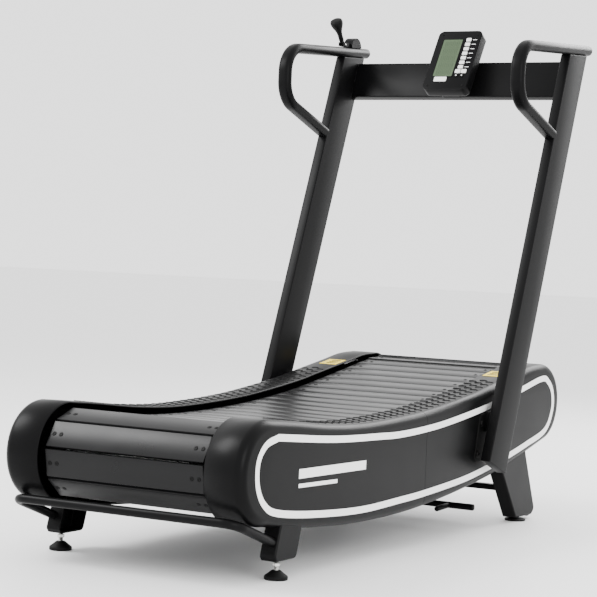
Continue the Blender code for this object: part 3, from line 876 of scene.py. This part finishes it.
    def _label(self, side: int, x0: float, x1: float, y0: float, y1: float, lift: float) -> bmesh.types.BMesh:
        """A thin patch that follows the step.

        Args:
            side: -1 left, 1 right.
            x0: inner edge.
            x1: outer edge.
            y0: rear end.
            y1: front end.
            lift: height of its face over the step.

        Returns:
            The patch.
        """
        low, high = side * (x0 + 0.002), side * x1
        rings = []
        for k in range(9):
            y = y0 + (y1 - y0) * k / 8
            z = self.surface(y)
            rings.append([(low, y, z - 0.0006), (high, y, z - 0.0006), (high, y, z + lift),
                          (low, y, z + lift)])
        return Shape.loft(rings)

    def _tread(self, side: int) -> bpy.types.Mesh:
        """Rows of short curved ridges on the step."""
        ridges = []
        for column, x in enumerate(self.tread_columns):
            y = 0.009 if column % 2 else -0.009
            path = [Vector((side * (x + 0.0112 * t), y + 0.0045 * (1 - t * t), 0.0))
                    for t in (-1.0, -0.6, -0.2, 0.2, 0.6, 1.0)]
            ridges.append(Shape.bar(path, 0.0030, 8, 0.0024))
        rear, front = self.tread_span
        line = [rear + (front - rear) * k / 60 for k in range(61)]
        path = [(0.0, y, self.surface(y) - 0.0012) for y in line]
        count = 34
        return self.repeater.run(path, False, Shape.join(ridges), count, self.shop.finishes.get(Look.RUBBER))


@dataclass
class SlatBelt:
    """The belt of slats, its drive bands and the screws."""

    shop: Workshop
    repeater: Repeater
    slats: int = 55
    half_length: float = 0.238
    width: float = 0.0708
    thickness: float = 0.009
    radius: float = 0.111
    first_slat: float = 0.0225
    screw_places: tuple[float, ...] = (-0.2242, -0.2031, 0.2031, 0.2242)
    band: Point2 = (0.188, 0.234)
    band_back: float = 0.0138
    top: tuple[Point2, ...] = ((-0.826, 0.383), (-0.573, 0.358), (-0.323, 0.350), (-0.043, 0.358),
                               (0.228, 0.381), (0.477, 0.4175), (0.736, 0.4605), (0.817, 0.472))
    bottom: tuple[Point2, ...] = ((0.868, 0.256), (0.700, 0.221), (0.500, 0.187), (0.300, 0.158),
                                  (0.100, 0.138), (-0.080, 0.126), (-0.270, 0.122), (-0.450, 0.127),
                                  (-0.666, 0.143), (-0.826, 0.163))

    def build(self) -> None:
        """Make the slats, their screws and the bands under them."""
        line = Shape.inset(self.outline(), self.thickness / 2)
        path = [(0.0, y, z) for y, z in self._from(line, self.first_slat)]
        finishes = self.shop.finishes
        slats = self.repeater.run(path, True, self._slat(), self.slats, finishes.get(Look.SLAT), 0.002)
        self.shop.piece("slats", slats, Look.SLAT, "frame", ("slat_belt",), 25)
        screws = self.repeater.run(path, True, self._screws(), self.slats, finishes.get(Look.SCREW))
        self.shop.piece("slat_screws", screws, Look.SCREW, "frame")
        for side, word in SIDES:
            self.shop.piece(f"drive_band_{word}", self._band(side), Look.BAND, "frame")

    def outline(self) -> Outline:
        """The running surface's clockwise outline."""
        rear = Shape.arc(REAR_DRUM, self.radius, 274, 86, 48)
        front = Shape.arc(FRONT_DRUM, self.radius, 100, -75, 45)
        return Shape.curve(self.top, 8)[:-1] + front + Shape.curve(self.bottom, 8)[1:] + rear

    @staticmethod
    def _from(line: Outline, start: float) -> Outline:
        """A closed line that starts further along itself.

        Args:
            line: the line.
            start: how far along the new start lies.

        Returns:
            The same line from there.
        """
        gone = 0.0
        for i, (here, after) in enumerate(zip(line, line[1:])):
            step = (Vector(after) - Vector(here)).length
            if gone + step > start:
                place = Vector(here).lerp(Vector(after), (start - gone) / step)
                return [(place[0], place[1])] + line[i + 1:] + line[:i + 1]
            gone += step
        return line

    def _slat(self) -> bmesh.types.BMesh:
        """One slat with rolled edges."""
        half, thick = self.width / 2, self.thickness / 2
        section = [(-half, -thick), (-half, thick - 0.0010), (-half + 0.0003, thick - 0.0003),
                   (-half + 0.0010, thick), (half - 0.0010, thick), (half - 0.0003, thick - 0.0003),
                   (half, thick - 0.0010), (half, -thick)]
        rings = []
        for x, pull in ((-self.half_length, 0.0012), (-self.half_length + 0.0012, 0.0),
                        (self.half_length - 0.0012, 0.0), (self.half_length, 0.0012)):
            rings.append([(x, y * (1 - pull / half), z * (1 - pull / thick)) for y, z in section])
        return Shape.loft(rings)

    def _screws(self) -> bmesh.types.BMesh:
        """The four screws of one slat."""
        heads = []
        top = self.thickness / 2
        for x in self.screw_places:
            profile = [(0.0062, top - 0.001), (0.0062, top + 0.0004), (0.0050, top + 0.0010),
                       (0.0028, top + 0.0010), (0.0024, top + 0.0003), (0.0003, top + 0.0003)]
            heads.append(Shape.lathe(profile, UP, Vector((x, 0.0, 0.0)), 14))
        return Shape.join(heads)

    def _band(self, side: int) -> bmesh.types.BMesh:
        """The band under one end of the slats."""
        outer = Shape.inset(self.outline(), self.thickness + 0.0002)
        inner = Shape.inset(self.outline(), self.band_back)
        low, high = (side * x for x in self.band)
        rings = [[(low, y, z) for y, z in outer], [(high, y, z) for y, z in outer],
                 [(high, y, z) for y, z in inner], [(low, y, z) for y, z in inner]]
        rings.append(rings[0])
        bm = Shape.loft(rings, ends=False)
        bmesh.ops.remove_doubles(bm, verts=bm.verts, dist=1e-7)
        bmesh.ops.recalc_face_normals(bm, faces=bm.faces)
        return bm


def lean_point(across: float, up: float) -> Point2:
    """A place on the uprights' side view.

    Args:
        across: distance from the rear edge.
        up: distance along the upright.

    Returns:
        The place (y, z).
    """
    return (UPRIGHT_REAR_Y + across * math.cos(LEAN) + up * math.sin(LEAN),
            -across * math.sin(LEAN) + up * math.cos(LEAN))


@dataclass
class Posts:
    """The uprights, the crossbar and the plates at their feet."""

    shop: Workshop
    repeater: Repeater
    depth: float = 0.126
    inner: float = 0.3845
    outer: float = 0.416
    bar: Point2 = (1.3305, 1.4446)
    bar_thickness: float = 0.030
    foot_z: float = 0.221
    handle_half: float = 0.0155

    def build(self) -> None:
        """Make the posts and what holds them."""
        base = self.foot_z / math.cos(LEAN)
        for side, word in SIDES:
            rear, front = lean_point(0.0, base), lean_point(self.depth, base)
            corners = [rear, self._top(0.0), self._top(self.depth), front]
            name = f"upright_{word}"
            tube = Shape.slab(Shape.rounded(corners, 0.003, 3), side * self.inner, side * self.outer, 0.003)
            self.shop.piece(f"{name}_tube", tube, Look.POWDER, "frame", (name,))
            self.shop.piece(f"upright_boss_{word}", self._boss(side), Look.POWDER, "frame")
            self.shop.piece(f"foot_pocket_{word}", self._pocket(side), Look.RUBBER, "frame")
            self.shop.piece(f"foot_bolts_{word}", self._bolts(side), Look.SCREW, "frame")
        rear, (low, high) = self.depth - self.bar_thickness, self.bar
        corners = [lean_point(a, z / math.cos(LEAN) + rear * math.tan(LEAN))
                   for a, z in ((rear, low), (rear, high), (self.depth, high), (self.depth, low))]
        reach = self.inner - 0.0004
        self.shop.piece("crossbar_tube", Shape.slab(Shape.rounded(corners, 0.003, 3), -reach, reach, 0.0008),
                        Look.POWDER, "frame", ("crossbar",))

    def _top(self, across: float) -> Point2:
        """Where an upright's edge meets the handle's underside."""
        foot = Vector(lean_point(across, 0.0))
        way = Vector((math.sin(LEAN), math.cos(LEAN)))
        under = HANDLE_FRONT[1] - self.handle_half
        reach = under + (foot[0] - HANDLE_FRONT[0]) * HANDLE_RISE - foot[1]
        place = foot + way * (reach / (way[1] - way[0] * HANDLE_RISE))
        return (place[0], place[1])

    def _boss(self, side: int) -> bmesh.types.BMesh:
        """The boss that carries an upright through the cover."""
        low, high = sorted((side * 0.3095, side * (self.inner - 0.0004)))
        return Shape.box((low, 0.395, 0.300), (high, 0.455, 0.360), 0.002)

    def _pocket(self, side: int) -> bmesh.types.BMesh:
        """The plate on the cover behind an upright's foot."""
        corners = [(0.330, 0.212), (0.362, 0.352), (0.486, 0.366), (0.462, 0.216)]
        return Shape.slab(Shape.rounded(corners, 0.014, 4), side * 0.3590, side * 0.3630, 0.0012)

    def _bolts(self, side: int) -> bpy.types.Mesh:
        """Bolt heads along an upright's foot."""
        profile = [(0.0085, 0.0), (0.0085, 0.0040), (0.0074, 0.0055), (0.0040, 0.0055), (0.0036, 0.0025),
                   (0.0004, 0.0025)]
        head = Shape.lathe(profile, Vector((side, 0, 0)), Vector((side * 0.3632, 0, 0)), 16)
        start, end = (0.347, 0.236), (0.368, 0.326)
        path = [(0.0, *start), (0.0, *end)]
        return self.repeater.run(path, False, head, 2, self.shop.finishes.get(Look.SCREW))


@dataclass
class Handles:
    """The looped handles, as flat oval tubes."""

    shop: Workshop
    centre: float = 0.400
    width: float = 0.045
    thick: float = 0.032
    loop: float = 0.4407
    low: Point2 = (0.7002, 1.2020)
    slope: float = -0.34
    radius: float = 0.080

    def build(self) -> None:
        """Make both handles."""
        for side, word in SIDES:
            name = f"handle_{word}"
            self.shop.piece(f"{name}_tube", self._tube(side), Look.GRIP, "frame", (name,))

    def _tube(self, side: int) -> bmesh.types.BMesh:
        """One handle, with a rounded front end.

        Args:
            side: -1 left, 1 right.

        Returns:
            Its skin.
        """
        upper = HANDLE_FRONT[1] + (self.loop - HANDLE_FRONT[0]) * HANDLE_RISE
        lower = self.low[1] + (self.loop - self.low[0]) * self.slope
        x = side * self.centre
        corners = [(x, *HANDLE_FRONT), (x, self.loop, upper), (x, self.loop, lower), (x, *self.low)]
        path = Shape.bend(corners, self.radius, 16)
        flat, radius = (self.width - self.thick) / 2, self.thick / 2
        turns = [math.pi * k / 12 for k in range(13)]
        half = [(flat + radius * math.sin(a), radius * math.cos(a)) for a in turns]
        section = half + [(-across, -deep) for across, deep in half]
        last = len(path) - 1
        rings = []
        for i, place in enumerate(path):
            ahead = (path[min(i + 1, last)] - path[max(i - 1, 0)]).normalized()
            through = ahead.cross(Vector((1, 0, 0))).normalized()
            if i == last:
                face = Vector((0, math.sin(LEAN), math.cos(LEAN)))
                through = -face / abs(face.dot(through))
            ring = [place + Vector((a, 0, 0)) + through * d for a, d in section]
            if i == 0:
                for turn in (85, 70, 50, 30, 15):
                    t = math.radians(turn)
                    rings.append([p + (place - p) * (1 - math.cos(t)) - ahead * 0.0075 * math.sin(t)
                                  for p in ring])
            rings.append(ring)
        return Shape.loft(rings)


@dataclass
class Console:
    """The console: shell, face, display, keys and screws; its bracket is kept from the CAD frame."""

    shop: Workshop
    centre: Vector = field(default_factory=lambda: Vector((0.0, 0.819, 1.4465)))
    tilt: float = math.radians(31.1)
    size: tuple[float, float, float] = (0.155, 0.2324, 0.044)
    window: tuple[Point2, Point2] = ((-0.0185, 0.0078), (0.067, 0.146))

    def build(self) -> None:
        """Make the console."""
        wide, tall, deep = self.size
        outline = Shape.rectangle((0, 0), (wide, tall), 0.018, 8)
        shop = self.shop
        shop.piece("console_back", self._block(outline, -deep, -0.0063, 0.008, 0.0005), Look.SHELL, "frame",
                   ("console_shell",))
        shop.piece("console_front", self._face(outline), Look.SHELL, "frame", ("console_face",), 25)
        shop.piece("display", self._block(Shape.rectangle(*self.window, 0.003), -0.0027, -0.0004, 0.0, 0.0),
                   Look.GLASS, "frame", ("display_lens",))
        shop.piece("display_figures", self._figures(), Look.INK, "frame")
        for name, centre, size in self.keys():
            cap = self._block(Shape.rectangle(centre, size, 0.0022), -0.0045, 0.0015, 0.0, 0.0006)
            look = Look.RUBBER if name in ("stop_key", "start_key") else Look.KEY
            shop.piece(f"{name}_top", cap, look, f"{name}_cap", (name,))
        for name, centre, _ in self.keys():
            if name.startswith("mode_key"):
                (a, b) = centre
                bar = self._block(Shape.rectangle((a + 0.0215, b), (0.014, 0.0016), 0.0005, 2), -0.0003,
                                  0.0002, 0.0, 0.0)
                shop.piece(f"{name}_bar", bar, Look.STRIPE, "frame")
        for name in ("stop_key", "start_key"):
            a, b = next(c for n, c, _ in self.keys() if n == name)
            dot = self._block(Shape.rectangle((a, b), (0.004, 0.004), 0.0018, 4), 0.0012, 0.0018, 0.0, 0.0)
            shop.piece(f"{name}_dot", dot, Look.STRIPE, f"{name}_cap")
        screws = [self._screw(a, b) for a, b in ((0.062, -0.101), (-0.062, -0.101), (0.062, 0.101),
                                                 (-0.062, 0.101))]
        shop.piece("console_screws", Shape.join(screws), Look.SCREW, "frame")

    @staticmethod
    def keys() -> list[tuple[str, Point2, Point2]]:
        """Each key's name, centre and size on the face."""
        pitch = 0.018
        mode, arrow, black = (0.0170, 0.0125), (0.018, 0.0145), (0.013, 0.011)
        keys = [(f"mode_key_{i + 1}", (0.037, 0.0788 - pitch * i), mode) for i in range(7)]
        keys += [("down_key", (0.032, -0.0462), arrow), ("up_key", (0.053, -0.0462), arrow)]
        keys += [("stop_key", (0.031, -0.0630), black), ("start_key", (0.0505, -0.0630), black)]
        return keys + [("enter_key", (-0.0215, -0.0772), (0.043, 0.017))]

    def place(self, across: float, up: float, out: float) -> Vector:
        """A place on the console's own axes, in the machine's."""
        s, c = math.sin(self.tilt), math.cos(self.tilt)
        return self.centre + Vector((across, up * s - out * c, up * c + out * s))

    def _block(self, outline: Sequence[Point2], low: float, high: float, back: float,
               front: float) -> bmesh.types.BMesh:
        """A block on the face's axes with softened rims.

        Args:
            outline: clockwise outline on the face.
            low: its rear, measured out of the face.
            high: its front.
            back: radius of the rear rim.
            front: radius of the front rim.

        Returns:
            The block.
        """
        rings = []
        for turn in ((0, 20, 45, 70, 90) if back else (90,)):
            a = math.radians(turn)
            rings.append((Shape.inset(outline, back * (1 - math.sin(a))), low + back * (1 - math.cos(a))))
        for turn in ((90, 60, 30, 0) if front else (90,)):
            a = math.radians(turn)
            rings.append((Shape.inset(outline, front * (1 - math.sin(a))), high - front * (1 - math.cos(a))))
        return Shape.loft([[self.place(a, b, out) for a, b in ring] for ring, out in rings])

    def _face(self, outline: Outline) -> bmesh.types.BMesh:
        """The face plate, with a raised frame round the display."""
        plate = self._block(outline, -0.006, -0.0012, 0.0, 0.001)
        (a, b), (w, h) = self.window
        inner = Shape.rectangle((a, b), (w, h), 0.003, 5)
        outer = Shape.rectangle((a, b), (w + 0.007, h + 0.007), 0.005, 5)
        levels = [(outer, -0.0014), (outer, -0.0002), (Shape.inset(outer, 0.0008), 0.0002), (inner, -0.0002),
                  (inner, -0.0014)]
        rings = [[self.place(x, y, out) for x, y in ring] for ring, out in levels]
        return Shape.join([plate, Shape.loft(rings, ends=False)])

    def _figures(self) -> bmesh.types.BMesh:
        """Seven-bar figures and rules on the display."""
        (a, b), (w, h) = self.window
        bars = []
        for row in range(5):
            up = b + h / 2 - 0.018 - row * 0.028
            for column in range(4):
                across = a - 0.020 + column * 0.0135
                for du in (0.0085, 0.0, -0.0085):
                    bars.append(self._bar(across, up + du, 0.0065, 0.0012))
                for da in (-0.0041, 0.0041):
                    for du in (0.0043, -0.0043):
                        bars.append(self._bar(across + da, up + du, 0.0012, 0.0070))
            if row < 4:
                bars.append(self._bar(a, up - 0.0140, w * 0.92, 0.0006))
        return Shape.join(bars)

    def _bar(self, across: float, up: float, wide: float, tall: float) -> bmesh.types.BMesh:
        """One bar of a figure."""
        outline = Shape.rectangle((across, up), (wide, tall), 0.0002, 1)
        return self._block(outline, -0.0006, -0.00025, 0.0, 0.0)

    def _screw(self, across: float, up: float) -> bmesh.types.BMesh:
        """One screw of the face."""
        ahead = self.place(0, 0, 1) - self.place(0, 0, 0)
        profile = [(0.0032, -0.0015), (0.0032, -0.0004), (0.0026, 0.0002), (0.0012, 0.0002),
                   (0.0010, -0.0006), (0.0002, -0.0006)]
        return Shape.lathe(profile, ahead, self.place(across, up, 0.0), 16)


@dataclass
class Lever:
    """The resistance lever on the left handle."""

    shop: Workshop
    pivot: Vector = field(default_factory=lambda: Vector((-0.400, 0.808, 1.4995)))
    lean: float = math.radians(35.5)
    blade_half: float = 0.0055

    def build(self) -> None:
        """Make the lever and its pivot pin, and give the kept housing its finish."""
        way = Vector((0, -math.sin(self.lean), math.cos(self.lean)))
        profile = [(0.0072, 0.0152), (0.0080, 0.0165), (0.0080, 0.0350), (0.0090, 0.0450), (0.0125, 0.0560),
                   (0.0170, 0.0660), (0.0200, 0.0745), (0.0210, 0.0810), (0.0207, 0.0855), (0.0190, 0.0890),
                   (0.0160, 0.0908), (0.0100, 0.0918), (0.0005, 0.0922)]
        knob = Shape.lathe(profile, way, self.pivot, 36)
        across = Vector((0, way[2], -way[1]))
        blade = []
        for along, wide in ((0.020, -0.0052), (0.020, 0.0052), (0.0, 0.0052), (-0.0037, 0.0037),
                            (-0.0052, 0.0), (-0.0037, -0.0037), (0.0, -0.0052)):
            place = self.pivot + way * along + across * wide
            blade.append((place[1], place[2]))
        tongue = Shape.slab(blade, self.pivot[0] - self.blade_half, self.pivot[0] + self.blade_half, 0.0005)
        self.shop.piece("lever_knob", Shape.join([knob, tongue]), Look.RUBBER, "lever", ("resistance_lever",))
        pin = [(0.0002, -0.0125), (0.0026, -0.0125), (0.0031, -0.0120), (0.0031, 0.0120), (0.0026, 0.0125),
               (0.0002, 0.0125)]
        self.shop.piece("lever_pivot_pin", Shape.lathe(pin, Vector((1, 0, 0)), self.pivot, 24), Look.ZINC,
                        "frame", ("lever_pin",))
        self.shop.dress(Look.GRIP, "lever_housing")


@dataclass
class Undercarriage:
    """Legs, feet, wheels, the lifting bar and the rods under the frame."""

    shop: Workshop
    foot_x: float = 0.332
    grip_x: float = 0.335
    grip_foot: Point2 = (-0.7788, 0.0958)
    grip_bend: Point2 = (-0.953, 0.158)

    def build(self) -> None:
        """Make the lifting bar, rods, feet and wheels, and give the kept legs their finish."""
        shop = self.shop
        corners = [(-self.grip_x, *self.grip_foot), (-self.grip_x, *self.grip_bend),
                   (self.grip_x, *self.grip_bend), (self.grip_x, *self.grip_foot)]
        bar = Shape.bar(Shape.bend(corners, 0.040, 14), 0.012, 24)
        shop.piece("lifting_bar", bar, Look.POWDER, "frame", ("rear_lifting_bar",))
        shop.dress(Look.POWDER, "front_leg_left", "front_leg_right", "rear_leg_left", "rear_leg_right")
        rods = [Shape.bar([Vector((-0.300, 0.474, 0.060)), Vector((0.300, 0.474, 0.060))], 0.010, 20, 0.003)]
        for side in (-1, 1):
            arm = [Vector((side * 0.12, 0.472, 0.060)), Vector((side * 0.12, 0.6595, 0.100))]
            stub = [Vector((side * 0.22, 0.476, 0.060)), Vector((side * 0.22, 0.388, 0.056))]
            rods += [Shape.bar(arm, 0.007, 16), Shape.bar(stub, 0.008, 16, 0.005)]
        shop.piece("lower_rods", Shape.join(rods), Look.POWDER, "frame", ("under_frame_rod",))
        for side, word in SIDES:
            self._rear_foot(side, word)
            self._front_foot(side, word)
            self._wheel(side, word)

    def _rear_foot(self, side: int, word: str) -> None:
        """A rear levelling foot: pad, stud and nut."""
        centre = Vector((side * self.foot_x, -0.7467, 0.0))
        pad = [(0.0005, 0.0), (0.0285, 0.0), (0.0302, 0.0015), (0.0302, 0.0080), (0.0290, 0.0100),
               (0.0200, 0.0165), (0.0130, 0.0225), (0.0100, 0.0240), (0.0005, 0.0240)]
        stud = [(0.0005, 0.0235), (0.0058, 0.0235), (0.0060, 0.0240)]
        for k in range(9):
            z = 0.0245 + 0.0025 * k
            stud += [(0.0061, z), (0.0055, z + 0.00125)]
        stud += [(0.0060, 0.0475), (0.0005, 0.0477)]
        body = f"rear_foot_{word}_body"
        self.shop.piece(f"rear_pad_{word}", Shape.lathe(pad, UP, centre, 40), Look.RUBBER, body,
                        (f"rear_foot_{word}",))
        nut = [(0.0005, 0.0331), (0.0085, 0.0331), (0.0095, 0.0340), (0.0095, 0.0411), (0.0085, 0.0420),
               (0.0005, 0.0420)]
        metal = Shape.join([Shape.lathe(stud, UP, centre, 20), Shape.lathe(nut, UP, centre, 6)])
        self.shop.piece(f"rear_stud_{word}", metal, Look.ZINC, body)

    def _front_foot(self, side: int, word: str) -> None:
        """A front levelling foot."""
        centre = Vector((side * self.foot_x, 0.7187, 0.0))
        pad = [(0.0005, 0.0), (0.0310, 0.0), (0.0325, 0.0015), (0.0325, 0.0058), (0.0310, 0.0068),
               (0.0200, 0.0090), (0.0090, 0.0095), (0.0090, 0.0122), (0.0005, 0.0122)]
        self.shop.piece(f"front_pad_{word}", Shape.lathe(pad, UP, centre, 40), Look.RUBBER,
                        f"front_foot_{word}_body", (f"front_foot_{word}",))

    def _wheel(self, side: int, word: str) -> None:
        """A transport wheel with a hub."""
        centre = Vector((side * 0.3285, 0.800, 0.036))
        profile = [(0.0056, -0.013), (0.0110, -0.013), (0.0120, -0.0105), (0.0200, -0.0105),
                   (0.0210, -0.013), (0.0262, -0.013), (0.0288, -0.0115), (0.0300, -0.0085)]
        profile += [(r, -along) for r, along in reversed(profile)]
        bm = Shape.lathe(profile, Vector((1, 0, 0)), centre, 40)
        self.shop.piece(f"wheel_{word}", bm, Look.RUBBER, f"transport_wheel_{word}_body",
                        (f"transport_wheel_{word}",))


@dataclass
class InnerWorks:
    """The kept CAD nodes: rails, cross tubes, drums, bearings and brake."""

    shop: Workshop

    def build(self) -> None:
        """Give the kept nodes their finishes."""
        hands = tuple(word for _, word in SIDES)
        self.shop.dress(Look.POWDER, "side_rail_left", "side_rail_right", "cross_tube_rear",
                        "cross_tube_front", "leg_cross_tube", "magnet_bracket", "console_bracket")
        for end in ("rear", "front"):
            self.shop.dress(Look.POWDER, *(f"{end}_bearing_{hand}" for hand in hands))
            self.shop.dress(Look.ALUMINIUM, *(f"{end}_pulley_{hand}" for hand in hands))
        self.shop.dress(Look.ALUMINIUM, "brake_disc", "magnet_yoke")
        self.shop.dress(Look.ZINC, "rear_shaft", "front_shaft")


@dataclass
class Studio:
    """Floor, light and camera."""

    shop: Workshop
    place: Vector = field(default_factory=lambda: Vector((2.8356, -5.0448, 0.8456)))
    azimuth: float = math.radians(29.896)
    elevation: float = math.radians(1.667)
    roll: float = math.radians(2.331)
    lens: float = 121.14
    sky: float = 2.2

    def build(self) -> None:
        """Set up the studio."""
        self._floor()
        self._world()
        self._lights()
        self._camera()

    def _floor(self) -> None:
        """A plain pale floor."""
        bm = bmesh.new()
        bmesh.ops.create_grid(bm, x_segments=1, y_segments=1, size=30.0)
        mesh = bpy.data.meshes.new("floor")
        bm.to_mesh(mesh)
        bm.free()
        floor = bpy.data.objects.new("floor", mesh)
        mesh.materials.append(self.shop.finishes.get(Look.FLOOR))
        bpy.context.scene.collection.objects.link(floor)

    def _world(self) -> None:
        """An even pale surround."""
        world = bpy.data.worlds.new("studio")
        world.use_nodes = True
        sky = world.node_tree.nodes["Background"]
        sky.inputs["Color"].default_value = (1.0, 1.0, 1.0, 1.0)
        sky.inputs["Strength"].default_value = self.sky
        bpy.context.scene.world = world

    @staticmethod
    def _lights() -> None:
        """Large soft lights above and to both sides."""
        for name, place, aim, size, power in (
                ("key", (-3.2, -2.2, 3.6), (0.0, 0.0, 0.5), 2.0, 260.0),
                ("fill", (4.2, -2.8, 2.2), (0.2, 0.0, 0.5), 2.0, 110.0),
                ("rim", (0.5, 4.2, 3.2), (0.0, 0.2, 0.6), 2.4, 220.0)):
            lamp = bpy.data.lights.new(name, "AREA")
            lamp.size = size
            lamp.energy = power
            light = bpy.data.objects.new(name, lamp)
            way = Vector(aim) - Vector(place)
            light.matrix_world = Matrix.Translation(place) @ way.to_track_quat("-Z", "Y").to_matrix().to_4x4()
            bpy.context.scene.collection.objects.link(light)

    def _camera(self) -> None:
        """A long lens from behind the user's right, at waist height."""
        az, el, roll = self.azimuth, self.elevation, self.roll
        ahead = Vector((-math.sin(az) * math.cos(el), math.cos(az) * math.cos(el), -math.sin(el)))
        level = Vector((math.cos(az), math.sin(az), 0.0))
        above = level.cross(ahead)
        right = level * math.cos(roll) + above * math.sin(roll)
        up = above * math.cos(roll) - level * math.sin(roll)
        data = bpy.data.cameras.new("camera")
        data.lens = self.lens
        data.sensor_width = 36.0
        data.clip_end = 100.0
        camera = bpy.data.objects.new("camera", data)
        turn = Matrix((right, up, -ahead)).transposed().to_4x4()
        camera.matrix_world = Matrix.Translation(self.place) @ turn
        bpy.context.scene.collection.objects.link(camera)
        bpy.context.scene.camera = camera


def main() -> None:
    """Build every sub-assembly and the studio, and log how many pieces were made."""
    shop = Workshop()
    repeater = Repeater()
    for part in (SideCovers(shop, repeater), SlatBelt(shop, repeater), Posts(shop, repeater), Handles(shop),
                 Console(shop), Lever(shop), Undercarriage(shop), InnerWorks(shop), Studio(shop)):
        LOG.info("building %s", type(part).__name__)
        part.build()
    LOG.info("%d pieces", shop.count)


if __name__ == "__main__":
    main()
